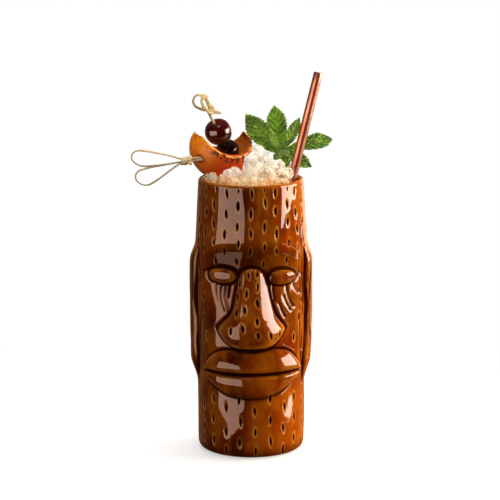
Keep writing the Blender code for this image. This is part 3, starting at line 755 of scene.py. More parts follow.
def lip_relief(x, z):
    """Height of the lips, the dark line of the mouth and round them, and the painted shade under them."""
    top = curve_at(LIP_TOP, x)
    bottom = curve_at(LIP_BOTTOM, x)
    reach = dome(x / np.where(x < 0, 29.8, 31.2), 3.6)
    upper = (z - MOUTH_HEIGHT) / np.maximum(top - MOUTH_HEIGHT, 0.5)
    lower = (MOUTH_HEIGHT - z) / np.maximum(MOUTH_HEIGHT - bottom, 0.5)
    back = np.clip((upper - 0.3) / 0.7, 0, 1)
    high = ramp(-0.04, 0.28, upper) ** 0.55 * (1 - back ** 1.35) ** 0.75
    under = np.clip((lower - 0.42) / 0.58, 0, 1)
    swell = 0.76 + 0.24 * np.sin(np.pi / 2 * np.clip(lower / 0.5, 0, 1))
    deep = ramp(-0.04, 0.15, lower) ** 0.7 * swell * (1 - under ** 1.6) ** 0.95
    height = (1.6 + 4.5 * reach) * (high + 0.92 * deep) * ramp(0, 0.3, reach)
    line = bell(z - MOUTH_HEIGHT, 0.5 + 0.5 * bell(x - 1, 12)) * ramp(0.35, 0.6, reach)
    outline = bell(z - top - 0.5, 0.7) * ramp(9, 17, np.abs(x)) * ramp(0.02, 0.25, reach)
    outline = np.maximum(outline, 0.12 * bell(z - bottom + 0.3, 1) * ramp(0.02, 0.25, reach))
    shade = 0.6 * bell(z - bottom - 1.2, 2.4) * ramp(0.1, 0.5, reach)
    return height, line, outline, shade


def eye_relief(x, z):
    """Smooth closed lids, each with a groove round it."""
    height, groove = np.zeros(x.shape), np.zeros(x.shape)
    for cx, cz, wide, tall, tilt in EYES:
        dx = x - cx
        dz = z - cz - tilt * dx
        far = (np.abs(dx / wide) ** 2.3 + np.abs(dz / tall) ** 2.3) ** (1 / 2.3)
        height = np.maximum(height, LID_HEIGHT * dome(far, 2.6, 0.55))
        groove = np.maximum(groove, bell((far - 1.09) * tall, 0.75))
    return height, groove


def flute_relief(degrees, z):
    """Long upright grooves on and just before the ears."""
    total = np.zeros(z.shape)
    for side in (-1, 1):
        for number, (angle, width, depth, low, high) in enumerate(FLUTES):
            wave = 1.3 * np.sin(z / 9.5 + number * 1.9 + side) + 0.6 * np.sin(z / 4.1 + number)
            depth = depth * (0.75 + 0.35 * np.sin(z / 6.3 + number * 2.3 + side))
            inside = ramp(low, low + 6, z) * fall(high - 6, high, z)
            total += 1.25 * depth * bell(degrees * side - angle - wave, width) * inside
    return total


def slot_places():
    """Angle in degrees, height and size of every slot: staggered columns, leaving the face free."""
    places = [(math.degrees(math.asin(x / 36.9)), z, 0.86) for x, z in FACE_SLOTS]

    def put(angle, z, across, up, size, wanted=True):
        jitter = RNG.uniform(-1, 1, 2)
        if wanted:
            places.append((angle + jitter[0] * across, z + jitter[1] * up, size))

    for column in range(UPPER_COLUMNS):
        angle = (column - UPPER_COLUMNS // 2) * 360 / UPPER_COLUMNS - 0.3
        front = abs(angle) < 62
        z = 175 - (7.4 if column % 2 == 0 else 0)
        while z > 47:
            ear = 64 < abs(angle) < 114 and 44 < z < 137
            size = 1 if z > 142 or not front else 0.82
            put(angle, z, 1.5, 1.5, size, z > 129.8 or (not front and not ear))
            z -= 13.2 if z > 150 or not front else 10.6
        if column % 2 == 0:
            places.append((angle + 1, 176.9, 0.5))
    for column in range(LOWER_COLUMNS):
        angle = 5 + (column - LOWER_COLUMNS // 2) * 360 / LOWER_COLUMNS
        z = 33 if column % 2 else 39.4
        while z > 3.5:
            put(angle, z, 1.2, 1.1, 1)
            z -= 14.3
    return places


def slot_relief(degrees, radius, z):
    """How deep each point is inside a slot, how near to its lip, and how far the wall dips toward it."""
    slot, ring, dip = (np.zeros(z.shape) for _ in range(3))
    for angle, height, size in slot_places():
        lean = RNG.uniform(-0.16, 0.16)
        wide = SLOT_HALF_WIDTH * size * RNG.uniform(0.85, 1.15)
        tall = SLOT_HALF_LENGTH * size * RNG.uniform(0.88, 1.12)
        turn = (degrees - angle + 180) % 360 - 180
        near = (np.abs(turn) < 9) & (np.abs(z - height) < 8)
        dz = z[near] - height
        dx = np.radians(turn[near]) * radius[near] - lean * dz
        far = np.abs(dx) / wide + 0.18 * (dx / wide) ** 2 + (np.abs(dz) / tall) ** 1.8
        slot[near] = np.maximum(slot[near], 1 - ramp(0.25, 1.25, far))
        outer = np.hypot(dx / (wide + 0.55), dz / (tall + 0.6))
        ring[near] = np.maximum(ring[near], bell(outer - 1, 0.28))
        dip[near] = np.maximum(dip[near], SLOT_DIP * bell(outer, 1.1))
    return slot, ring * (1 - slot), dip


def blurred(grid, reach):
    """Mean over a square of the grid, wrapped across the columns."""
    across = sum(np.roll(grid, shift, axis=1) for shift in range(-reach, reach + 1)) / (2 * reach + 1)
    padded = np.pad(across, ((reach, reach), (0, 0)), mode="edge")
    return sum(padded[i:i + len(grid)] for i in range(2 * reach + 1)) / (2 * reach + 1)


def mug_relief(degrees, radius, z):
    """How far the outside stands off its round shape, with the values that tint the glaze."""
    x = radius * np.sin(np.radians(degrees))
    above = z - curve_at(BROW_EDGE, x)
    front = fall(*FACE_FADE, np.abs(degrees))
    wide = fall(*EDGE_FADE, np.abs(x))

    # the brow rolls under toward its edge, and the sockets lie back below that edge
    foot, rise, half = BROW_ARCH
    arch = foot + rise * dome(x / half, 4)
    past = np.maximum(0, arch + 5 - z)
    slope, lost = BROW_ROLL
    roll = slope * np.where(past < 3, past * past / 6, past - 1.5) - lost * np.maximum(0, past - 8)
    roll *= ramp(-0.6, 0.1, above) * wide
    socket = SOCKET_DEPTH * fall(-0.6, 0.1, above) * ramp(100, 122, z) * wide
    socket *= 1 - 0.85 * ramp(17, 35, np.abs(x))
    under = bell(above + 0.9, 0.85) * wide

    # the parts of the face, with the lines between them
    nose, nose_line = nose_relief(x, z, above)
    eyes, eye_line = eye_relief(x, z)
    lips, mouth_line, lip_line, lip_shade = lip_relief(x, z)
    below = fall(-0.8, -0.1, above)
    eyes, eye_line = eyes * below, eye_line * fall(-0.6, 0.6, above)
    tears = np.zeros(z.shape)
    for points, width, depth in TEAR_GROOVES:
        tears = np.maximum(tears, depth * stroke(x, z, points, width * 1.35))
    plain = np.clip(nose, 0, 1)
    height = -roll - socket + np.maximum(np.maximum(nose, eyes), lips)
    lines = np.maximum.reduce([0.9 * under * (1 - plain), 0.9 * nose_line, 0.8 * eye_line * (1 - plain),
                               0.9 * tears * (1 - plain), 1.3 * mouth_line, 0.6 * lip_line])
    height = front * (height - lines)

    # the ears and the marks all round
    ear_across = (np.abs(degrees) - EAR_ANGLE) / EAR_HALF_ANGLE
    ear = EAR_OUT * dome(ear_across, 4) * ramp(45, 62, z) * fall(126, 139, z)
    flutes = flute_relief(degrees, z)
    slot, ring, dip = slot_relief(degrees, radius, z)
    height += ear - flutes - SLOT_DEPTH * slot - dip
    too_deep = np.maximum(0, -DEEPEST - height)
    height += too_deep - 0.6 * np.tanh(too_deep / 0.6)

    # where the glaze is dark: glaze that pools in the grooves and flutes, painted shade under the brow
    # roll, below the lower lip and below the brow edge, and darker towards the foot
    deep_lines = np.where(tears * 0.9 >= lines, lines * 0.55, lines)
    # painted shade where the brow rolls under
    shade = 0.5 * ramp(1, 9, past) * ramp(-0.6, 0, above) * wide
    # darker towards the foot
    darker_near_foot = 0.55 * fall(1, 13, z)
    # painted shade just below the brow edge, kept off the nose and the lids
    brow_shade = bell(above + 1, 1.8 + 1.9 * bell(np.abs(x) - 10, 5)) * wide
    brow_shade *= fall(0.8, 2.6, nose) * fall(1.2, 2.8, eyes)
    shade = np.maximum.reduce([shade, lip_shade, brow_shade])
    dark = np.clip(np.maximum(front * np.maximum(deep_lines, shade), flutes), 0, 1)
    dark = np.maximum(dark, darker_near_foot)
    return height, slot, ring, dark


def mug_rows():
    """(radius, height, is outside) from the cavity floor, over the rim, to the foot."""
    rows = [(8, CAVITY_FLOOR, 0), (17, CAVITY_FLOOR, 0), (25.5, CAVITY_FLOOR, 0)]
    for turn in np.radians(np.arange(18, 91, 18)):
        rows.append((25.5 + 5 * math.sin(turn), CAVITY_FLOOR + 5 - 5 * math.cos(turn), 0))
    for z in (20, 45, 75, 105, 135, 150, 162, 170, 175, MUG_TOP):
        rows.append((float(curve_at(CAVITY_RADII, z)), z, 0))
    middle = float(curve_at(OUTER_RADII, MUG_TOP) + curve_at(CAVITY_RADII, MUG_TOP)) / 2
    for turn in np.radians(np.arange(22.5, 160, 22.5)):
        rows.append((middle - RIM_RADIUS * math.cos(turn), RIM_HIGH + RIM_RADIUS * math.sin(turn), 0))
    for high, low, step in OUTSIDE_ROWS:
        for z in np.linspace(high, low, round((high - low) / step), endpoint=False):
            rows.append((float(curve_at(OUTER_RADII, z)), z, 1))
    foot = float(curve_at(OUTER_RADII, FOOT_CORNER)) - FOOT_CORNER
    for turn in np.radians(np.arange(0, 91, 11.25)):
        rows.append((foot + FOOT_CORNER * math.cos(turn), FOOT_CORNER - FOOT_CORNER * math.sin(turn), 1))
    rows.append((15, 0, 1))
    return rows


def build_mug(material):
    """The mug as one closed skin, with values at its points that tell the glaze where it is."""
    rows = np.array(mug_rows())
    turn = turns(MUG_COLUMNS)
    turn = np.degrees(turn - FRONT_BUNCHING * np.sin(turn))
    turn = (turn + 180) % 360 - 180
    degrees, radius = np.meshgrid(turn, rows[:, 0])
    z = np.repeat(rows[:, 1:2], MUG_COLUMNS, axis=1)
    outside = rows[:, 2] > 0
    face = np.flatnonzero(outside & (rows[:, 1] > 1))
    height, slot, ring, dark = (np.zeros(z.shape) for _ in range(4))
    height[face], slot[face], ring[face], dark[face] = mug_relief(degrees[face], radius[face], z[face])
    height *= ramp(1, 5, z) * fall(178, 179.4, z)
    spot = np.radians(degrees)
    wobble = 0.1 * np.sin(spot * 5 + z / 21) + 0.08 * np.sin(spot * 11 - z / 9)
    full = radius + height + np.where(outside[:, None], wobble * ramp(3, 12, z), 0)
    points = np.stack([full * np.sin(spot), -full * np.cos(spot), z], axis=-1).reshape(-1, 3)
    points = np.vstack([points, [(0, 0, CAVITY_FLOOR), (0, 0, 0)]])
    faces = capped_faces(len(rows), MUG_COLUMNS)
    fine = blurred(height, 3) - height
    broad = blurred(height, 8) - height
    outside = outside[:, None]
    # recess: glaze that pools in the hollows, plus the painted shade held in dark
    recess = np.maximum(np.clip(fine * 1.5 + broad * 0.35, 0, 1) * outside, dark)
    raised = np.maximum(np.clip(-fine * 1.3 - broad * 0.25, 0, 1) * outside, bell(z - 180, 1.1) * 0.7)
    inside = ~outside & (z < 178)
    bare = (radius < 31.5) & outside & (z < 1)
    form = Form()
    form.add(points, faces, slot=np.append(slot, (0, 0)), halo=np.append(ring, (0, 0)),
             recess=np.append(recess, (0, 0)), raised=np.append(raised, (0, 0)),
             inside=np.append(inside, (1, 0)), bare=np.append(bare, (0, 1)))
    return form.build("glazed_mug", material, "mug", "glaze", "mug_body")


# ---- straw, drink and ice ----

def build_straw(material):
    """Drawn tube with rolled lips, its inside open from end to end."""
    low, high, radius = axis_of("straw")
    way = unit(high - low)
    length = np.linalg.norm(high - low)
    wall = radius / 6
    side, up = beside(way, (0, -1, 0))
    lip = wall / 2
    profile = []
    for end, start in ((length - lip, 0), (lip, 180)):
        for turn in np.radians(start + np.arange(0, 181, 30)):
            profile.append((radius - lip + lip * math.cos(turn), end + lip * math.sin(turn)))
        inner = end == length - lip
        for part in np.linspace(0, 1, 40)[1:-1]:
            reach = radius - wall if inner else radius
            profile.append((reach, end + (lip - end if inner else length - lip - end) * part))
    turn = turns(STRAW_SIDES)
    rings = [low + way * t + (side * np.cos(turn)[:, None] + up * np.sin(turn)[:, None]) * reach
             for reach, t in profile]
    form = Form()
    form.add(rings, ring_faces(len(profile), STRAW_SIDES))
    return form.build("copper_straw", material, "straw", "copper", "straw")


def refined(node, cuts, rounds):
    """A finer, rounder copy of a frame node's mesh."""
    bm = welded(node)
    bmesh.ops.subdivide_edges(bm, edges=bm.edges, cuts=cuts, use_grid_fill=True)
    for _ in range(rounds):
        bmesh.ops.smooth_vert(bm, verts=bm.verts, factor=0.5, use_axis_x=True, use_axis_y=True,
                              use_axis_z=True)
    bm.normal_update()
    mesh = bpy.data.meshes.new(node + "_fine")
    bm.to_mesh(mesh)
    bm.free()
    return mesh


def build_ice(material):
    """Each loose nugget, melted round, with lumps and small pits."""
    for number in range(1, ICE_COUNT + 1):
        node = "ice_%02d" % number
        mesh = refined(node, 3, 3)
        points, normals = points_of(mesh)
        size = np.ptp(points, axis=0).mean()
        lumps = ragged(points, size * 0.42, number) * 0.1 * size
        lumps -= np.abs(ragged(points, size * 0.24, number + 20)) * 0.09 * size
        pits = ragged(points, 1.5, number + 50) * 0.1
        move_points(mesh, points + normals * (lumps + pits + 0.5)[:, None])
        show(mesh, "ice_nugget_%02d" % number, material, "mug", "ice", node)


def build_packed_ice(material):
    """The packed ice, with a crushed top."""
    rough = loose(welded("ice_bed"), "packed_rough")
    modified(rough, "REMESH", mode="VOXEL", voxel_size=ICE_VOXEL * MM)
    mesh = evaluated(rough)
    points, normals = points_of(mesh)
    top = ramp(168, 174, points[:, 2]) * np.clip(normals[:, 2], 0, 1)
    lumps = ragged(points, 3.2, 7) * 0.9 + ragged(points, 1.4, 9) * 0.4
    points[:, 2] += top * (lumps - 0.2)
    move_points(mesh, points)
    return show(mesh, "ice_packed", material, "mug", "ice", "ice_bed")


def build_crumbs(material):
    """Small broken ice that fills the gaps between the nuggets, out to the rim."""
    rods = axis_of("straw"), axis_of("mint_stem")
    points, faces = [], []
    for node in ["ice_bed"] + ["ice_%02d" % n for n in range(1, ICE_COUNT + 1)]:
        mesh = frame["nodes"][node].data
        faces += [[i + len(points) for i in face.vertices] for face in mesh.polygons]
        points += [v.co / MM for v in mesh.vertices]
    heap = BVHTree.FromPolygons(points, faces)
    bm = bmesh.new()
    bmesh.ops.create_icosphere(bm, subdivisions=2, radius=1)
    bm.verts.ensure_lookup_table()
    ball = np.array([v.co for v in bm.verts])
    ball_faces = [[v.index for v in face.verts] for face in bm.faces]
    bm.free()

    def clear_of(point, start, end, room):
        way = unit(end - start)
        across = point - start
        return np.linalg.norm(across - way * (across @ way)) > room

    form = Form()
    made = 0
    for number in range(CRUMB_TRIES):
        reach = 30 * math.sqrt(RNG.uniform(0.04, 1))
        angle = RNG.uniform(-math.pi, math.pi)
        size = RNG.uniform(0.8, 2.1)
        shape = RNG.uniform(0.65, 1.3, 3)
        turned = np.array(Matrix.Rotation(RNG.uniform(0, 6.28), 3, Vector(RNG.normal(size=3)).normalized()))
        reach = min(reach, CRUMB_REACH - size * 1.2)
        spot = np.array((reach * math.sin(angle), -reach * math.cos(angle), 240))
        hit, normal, _, _ = heap.ray_cast(Vector(spot), Vector((0, 0, -1)))
        if hit is None or normal.z < 0.25 or hit.z > CRUMB_TOP:
            continue
        spot[2] = hit.z - size * 0.15
        room = size * 1.3 + 0.5
        free = np.linalg.norm(spot - FRUIT_CENTRE) >= FRUIT_RADIUS + room
        free = free and all(clear_of(spot, low, high, radius + room) for low, high, radius in rods)
        if not free or reach < 21 or (size > 1.2 and reach < 25):
            continue
        lump = (ball * shape) @ turned.T
        bumps = 1 + 0.34 * ragged(lump, 1.1, number)
        form.add(spot + lump * bumps[:, None] * size, ball_faces)
        made += 1
        if made >= CRUMBS:
            break
    return form.build("ice_crumbs", material, "mug", "ice")


# ---- fruit, cherries and picks ----

def aim(way):
    """Turn that takes +Z onto a direction."""
    return Vector(way).to_track_quat("Z", "Y").to_matrix().to_4x4()


def cut_plane(a, b, c):
    """Outward way and a point of a plane, with the fruit's low side kept."""
    normal = (b - a).cross(c - a).normalized()
    low = Vector(FRUIT_CENTRE) - Vector((0, -2, FRUIT_RADIUS))
    if normal.dot(low - a) > 0:
        normal = -normal
    return np.array(normal), np.array(a)


def rod(name, start, end, radius):
    """A cylinder to cut a pick's hole with."""
    bm = bmesh.new()
    start, end = Vector(start), Vector(end)
    place = Matrix.Translation((start + end) / 2 * MM) @ aim((end - start).normalized())
    bmesh.ops.create_cone(bm, cap_ends=True, segments=32, radius1=radius * MM,
                          radius2=radius * MM, depth=(end - start).length * MM, matrix=place)
    return loose(bm, name)


def front_gap(points):
    """How far each point stands past the front cut of the fruit, a plane bowed up toward both tips."""
    along = unit(np.array(FRUIT_RIGHT_TIP - FRUIT_LEFT_TIP))
    along = unit(along - FRUIT_FRONT_WAY * (along @ FRUIT_FRONT_WAY))
    off = points - FRUIT_FRONT_MIDDLE
    t, s = off @ along, off @ np.cross(FRUIT_FRONT_WAY, along)
    bow = 0.011 * (t - 4) ** 2 - 0.9 - 3.4 * ramp(8, 19, s) * ramp(2, 10, -t)
    return off @ FRUIT_FRONT_WAY - bow


def front_cutter():
    """A thick block over the fruit whose underside is the bowed front cut."""
    side, up = beside(FRUIT_FRONT_WAY, (0, 1, 0))
    grid = np.linspace(-38, 38, 56)
    a, b = np.meshgrid(grid, grid, indexing="ij")
    flat = FRUIT_FRONT_MIDDLE + a[..., None] * side + b[..., None] * up
    under = (flat - front_gap(flat)[..., None] * FRUIT_FRONT_WAY).reshape(-1, 3)
    count = len(grid)
    points = np.vstack([under, under + FRUIT_FRONT_WAY * 60])
    quads = np.array(sheet_faces(count, count))
    faces = quads.tolist() + (quads[:, ::-1] + count * count).tolist()
    index = np.arange(count * count).reshape(count, count)
    rim = np.concatenate([index[0], index[1:, -1], index[-1, -2::-1], index[-2:0:-1, 0]])
    after = np.roll(rim, -1)
    faces += np.stack([rim, after, after + count * count, rim + count * count], axis=1).tolist()
    mesh = bpy.data.meshes.new("front_cut")
    mesh.from_pydata((points * MM).tolist(), [], faces)
    bm = bmesh.new()
    bm.from_mesh(mesh)
    bmesh.ops.recalc_face_normals(bm, faces=bm.faces)
    return loose(bm, "front_cut")


def build_fruit(material, pick_start, pick_way):
    """The shell: a ball less a bowed front cut, a back plane, a long hollow and the picks' holes."""
    normal, point = cut_plane(FRUIT_LEFT_TIP, FRUIT_RIGHT_TIP, FRUIT_BACK_LOW)
    bm = bmesh.new()
    bmesh.ops.create_uvsphere(bm, u_segments=128, v_segments=72, radius=FRUIT_RADIUS * MM,
                              matrix=Matrix.Translation(FRUIT_CENTRE * MM))
    shell = loose(bm, "shell_rough")
    bm = bmesh.new()
    bmesh.ops.create_cube(bm, size=0.09, matrix=Matrix.Translation((point + normal * 45) * MM)
                          @ aim(normal))
    tools = [front_cutter(), loose(bm, "back_cut")]
    along = (FRUIT_RIGHT_TIP - FRUIT_LEFT_TIP).to_track_quat("X", "Z").to_matrix().to_4x4()
    centre = FRUIT_CENTRE + (0, 0, FRUIT_HOLLOW_LIFT)
    into = Matrix.Translation(centre * MM) @ along @ Matrix.Diagonal((*(Vector(FRUIT_HOLLOW) * MM), 1))
    bm = bmesh.new()
    bmesh.ops.create_uvsphere(bm, u_segments=112, v_segments=64, radius=1, matrix=into)
    tools.append(loose(bm, "hollow"))
    pick = LOOP_PICK_KNOT + LOOP_PICK_STEP
    tools.append(rod("side_hole", pick, pick + LOOP_PICK_WAY * 28, 1.65))
    tools.append(rod("low_hole", pick_start, pick_start + pick_way * 16, 1.3))
    for tool in tools:
        modified(shell, "BOOLEAN", operation="DIFFERENCE", solver="EXACT", object=tool)
    modified(shell, "REMESH", mode="VOXEL", voxel_size=FRUIT_VOXEL * MM)
    modified(shell, "SMOOTH", factor=0.5, iterations=3)
    mesh = evaluated(shell)
    for tool in tools:
        bpy.data.objects.remove(tool, do_unlink=True)
    points, normals = points_of(mesh)
    off = points - FRUIT_CENTRE
    deep = FRUIT_RADIUS - np.linalg.norm(off, axis=1)
    front, back = front_gap(points), (points - point) @ normal
    skin = fall(0.15, 0.55, deep)
    cut_face = np.maximum(ramp(-0.5, -0.1, front), ramp(-0.5, -0.1, back))
    value_on(mesh, "flesh", (1 - skin) * (1 - 0.5 * cut_face))
    value_on(mesh, "edge", cut_face * fall(0.2, 1.5, deep))
    # toward the lower right, away from the light, the peel is redder and darker: its own colour together
    # with painted shade
    lean = off @ unit(np.array((0.75, -0.1, -0.65)))
    value_on(mesh, "blush", ramp(-13, 15, lean + 2 * ragged(points, 9, 3)))
    right = ramp(-24, 14, off[:, 0] + 14)
    near = ramp(-6.5, -0.4, front) * right
    value_on(mesh, "scorch", np.clip(near * 1.3 + 0.5 * cut_face * right, 0, 1))
    # painted shade round the looped pick's hole, on the front of the shell
    across = points - pick - np.outer((points - pick) @ LOOP_PICK_WAY, LOOP_PICK_WAY)
    value_on(mesh, "bruise", bell(np.linalg.norm(across, axis=1), 3.2) * (off[:, 1] < 0))
    swell = 0.1 * ragged(points, 5, 4) * skin + 0.16 * ragged(points, 1.8, 8) * (1 - skin)
    move_points(mesh, points + normals * swell[:, None])
    return show(mesh, "fruit_shell", material, "fruit", "fruit", "fruit_wedge")


def build_cherry(name, node, dark, light, way, seed):
    """A pitted cherry: dimpled where the pick goes through, a little uneven."""
    centre, radius = middle_of(node)
    rows, columns = CHERRY_GRID
    side, up = beside(way, (0, 0, 1))
    start = math.asin(CHERRY_HOLE / radius)
    tilt, turn = np.meshgrid(np.linspace(start, math.pi - start, rows),
                             turns(columns), indexing="ij")
    dimple = 1 - 0.15 * bell(tilt, 0.38) - 0.12 * bell(math.pi - tilt, 0.42)
    crease = 1 - 0.012 * bell(np.sin(turn / 2 + seed), 0.12) * np.sin(tilt)
    reach = radius * dimple * crease
    reach *= 1 + 0.012 * np.sin(2 * turn + seed) * np.sin(tilt) + 0.01 * np.sin(3 * tilt + seed)
    reach, tilt, turn = reach[..., None], tilt[..., None], turn[..., None]
    spoke = np.cos(turn) * side + np.sin(turn) * up
    outer = centre + reach * (np.cos(tilt) * way + np.sin(tilt) * spoke)
    bore = [centre + way * (float((ring[0] - centre) @ way) * 0.9) + CHERRY_HOLE * spoke[0]
            for ring in (outer[-1], outer[0])]
    points = np.concatenate([outer, bore])
    faces = ring_faces(len(points), columns)
    form = Form()
    form.add(points, faces)
    return form.build(name, cherry_material(name, dark, light), node, "cherry", node)


def build_knotted_pick(material, start, end, way):
    """A split bamboo pick: round shaft below, its top split into a flat strand tied in a knot."""
    form = Form()
    neck = start - way * 18.4
    run = np.linspace(0, 1, 40)[:, None]
    shaft = neck + (end - neck) * run
    taper = np.clip((1 - run[:, 0]) * 9, 0.35, 1)
    form.strand(shaft, 1.9 * taper, 1.7 * taper, (0, -1, 0.4), 16, which=0)
    upper = flow([neck + way * 2, *KNOT_STRAND], 9)
    part = np.linspace(0, 1, len(upper))
    middle = np.array((-31.5, -12, 230.5))
    facing = unit(upper - middle) * (0.9 * ramp(0.28, 0.4, part) * fall(0.66, 0.76, part))[:, None]
    facing = facing + (0, -0.8, 0.25)
    wide = 2.3 - 0.7 * ramp(0.93, 1, part) - 0.3 * bell(part - 0.5, 0.12)
    form.strand(upper, wide, 0.8, facing, 14, which=1)
    twist = flow(KNOT_TWIST, 9)
    form.strand(twist, 2.2, 0.8, (0.25, -1, 0.15), 14, which=2)
    return form.build("knotted_pick", material, "knot_pick", "bamboo", "knot_pick")


def build_looped_pick(material):
    """Two split strands bent into loops, bound by a wrapped strand, with twin tips in the fruit."""
    form = Form()
    knot, way = LOOP_PICK_KNOT, LOOP_PICK_WAY
    for number, points in enumerate(LOOPS):
        path = flow(np.array(points) + knot, 9)
        part = np.linspace(0, 1, len(path))
        middle = path.mean(axis=0)
        facing = unit(path - middle) * 0.75 + (0, -0.66, 0)
        wide = 1.35 - 0.12 * np.sin(part * 14 + number)
        form.strand(path, wide, 0.85, facing, 12, which=3 + number)
    side, front = beside(way, (0, -1, 0))
    around = np.linspace(0, 2 * np.pi * 2.7, 110)[:, None]
    reach = 2.25 + 0.4 * np.sin(around * 1.3)
    radial = side * np.cos(around) + front * np.sin(around)
    wrap = knot + way * (-2.6 + around * 0.36) + radial * reach
    form.strand(wrap, 2, 0.9, radial, 12, which=5)
    for lean, number in ((1, 6), (-1, 6.5)):
        cross = flow([knot - way * 3 + side * 2 * lean + front * 1.2, knot + front * (3.2 + 0.2 * lean),
                      knot + way * 3 - side * 2 * lean + front * 1.5,
                      knot + way * 3.8 - side * 2.3 * lean - front * 0.6], 8)
        form.strand(cross, 2, 0.8, front, 12, which=number)
    run = np.linspace(0, 1, 40)[:, None]
    for number, shift in enumerate((0.74, -0.74)):
        path = knot - way * 2 + way * (LOOP_PICK_REACH + 2) * run + side * shift
        path += LOOP_PICK_STEP * ramp(0.08, 0.36, run)
        taper = np.clip((1 - run[:, 0]) * 7, 0.25, 1)
        form.strand(path, 1.45 * taper, 1.3 * taper, front, 12, which=7 + number)
    return form.build("looped_pick", material, "loop_pick", "bamboo", "loop_pick")


# ---- mint ----

def leaf_frame(node, root):
    """Base, length, directions, width and bend of a leaf, read from its frame node."""
    points = cloud(node)
    order = np.argsort(np.linalg.norm(points - root, axis=1))
    base, tip = points[order[:10]].mean(axis=0), points[order[-6:]].mean(axis=0)
    length = np.linalg.norm(tip - base)
    along = (tip - base) / length
    flat = points - base
    run = flat @ along
    flat -= np.outer(run, along)
    side = np.linalg.svd(flat - flat.mean(axis=0), full_matrices=False)[2][0]
    side = unit(side - along * (side @ along))
    side, normal = facing_front(side, np.cross(side, along), (0, -1, 0.45))
    across = flat @ side
    half = np.ptp(across) / 2
    u, v = run / length, (across - (across.max() + across.min()) / 2) / half
    widest = float(np.clip(u[np.abs(v) > 0.93].mean(), 0.45, 0.7))
    terms = np.stack([np.ones(len(u)), u, u * u, v * v], axis=1)
    bend = np.linalg.lstsq(terms, flat @ normal, rcond=None)[0]
    return base, along, side, normal, length, half, widest, bend


def facing_front(side, normal, way):
    """Turn a leaf over when its face looks away from a direction."""
    return (-side, -normal) if normal @ np.array(way) < 0 else (side, normal)


def leaf_surface(form, base, along, side, normal, length, half, widest, bend, seed):
    """Add a toothed, quilted leaf blade to a form."""
    rows, columns = (84, 49) if length > 15 else (48, 25)
    u, v = np.meshgrid(np.linspace(0, 1, rows), np.linspace(-1, 1, columns), indexing="ij")
    power = math.log(0.5) / math.log(widest)
    outline = np.maximum(0, np.sin(np.pi * u ** power)) ** (0.52 + 0.45 * ramp(0.6, 1, u))
    bite = (u * 0.5 * length + 0.2 * seed) % 1
    outline = outline * (1 - 0.15 * (1 - bite ** 1.4) * ramp(0.1, 0.3, u)) + 0.05 * (1 - u) ** 3
    su = u + 0.01 * np.sin(9 * v + 4 * u + seed) + 0.008 * np.sin(23 * v - 7 * u)
    sv = v + 0.035 * np.sin(15 * u + seed) * (1 - np.abs(v))
    veins = max(5, length / 4)
    phase = (su - 0.24 * np.abs(sv) ** 1.1) * veins + (0.25 * np.sign(sv))
    cell = np.abs(sv) * max(2.6, half / 1.9) + 0.5 * np.floor(phase)
    lateral = np.abs(np.sin(np.pi * phase))
    puff = lateral ** 0.75 * (0.55 + 0.45 * np.abs(np.sin(np.pi * cell)) ** 0.7)
    edge = fall(0.86, 1, np.abs(v))
    rib = bell(v * half, 0.55 + 0.35 * (1 - u))
    scale = min(1, half / 6)
    lift = bend[0] + bend[1] * u + bend[2] * u * u + bend[3] * v * v * outline
    lift = lift + scale * (1.7 * puff * (0.35 + 0.65 * edge) - 0.7 * rib
                           + 0.36 * np.sin(4 * np.pi * u + seed) * v * v)
    points = (base + along * (u * length)[..., None] + side * (v * half * outline)[..., None]
              + normal * lift[..., None])
    vein = np.maximum(bell(v * half, 0.42), 0.55 * fall(0, 0.35, lateral) * edge)
    form.add(points, sheet_faces(rows, columns), puff=puff.ravel(), vein=vein.ravel())


def build_leaf(name, material, root, seed):
    """One leaf, and where its stalk starts."""
    shape = leaf_frame("mint_" + name, root)
    form = Form()
    leaf_surface(form, *shape, seed)
    made = form.build("leaf_" + name, material, "mint", "mint", "mint_" + name)
    modified(made, "SOLIDIFY", thickness=LEAF_THICKNESS * MM, offset=0)
    return shape[0]


def shoot_leaf(form, base, tip, half, bow, seed):
    """A small leaf of the shoot tip, set straight from its two ends."""
    base, tip = np.array(base), np.array(tip)
    length = np.linalg.norm(tip - base)
    along = (tip - base) / length
    side, normal = facing_front(*beside(along, (0, -1, 0.25)), (0, -1, 0.4))
    leaf_surface(form, base, along, side, normal, length, half, 0.5, (0, 4 * bow, -4 * bow, -0.5), seed)


def build_mint(material, young, stem_material):
    """The leaves, and one piece for the stem, its stalks and the shoot tip."""
    low, high, radius = axis_of("mint_stem")
    way = unit(high - low)
    root = high - way * 2
    bases = []
    for number, name in enumerate(LEAVES):
        bases.append(build_leaf(name, young if name == "young" else material, root, number * 1.7))
    form = Form()
    run = np.linspace(0, 1, 60)[:, None]
    knuckle = 1 + 0.25 * bell(run[:, 0] - 0.55, 0.02) + 0.35 * bell(run[:, 0] - 0.97, 0.03)
    form.strand(low + (high - low) * run, 2 * radius * knuckle, 1.9 * radius * knuckle, (0, -1, 0), 16)
    for base in bases:
        bow = (root + base) / 2 + (0, 0, -0.4)
        stalk = flow([root - way * 1.2, bow, base + unit(base - root)], 6)
        form.strand(stalk, 1.2, 1, (0, -1, 0.2), 10)
    for number, (base, tip, half, bow) in enumerate(SHOOT_LEAVES):
        shoot_leaf(form, base, tip, half, bow, number * 2.3)
    return form.build("sprig_stem", stem_material, "mint", "mint", "mint_stem")


# ---- stage ----

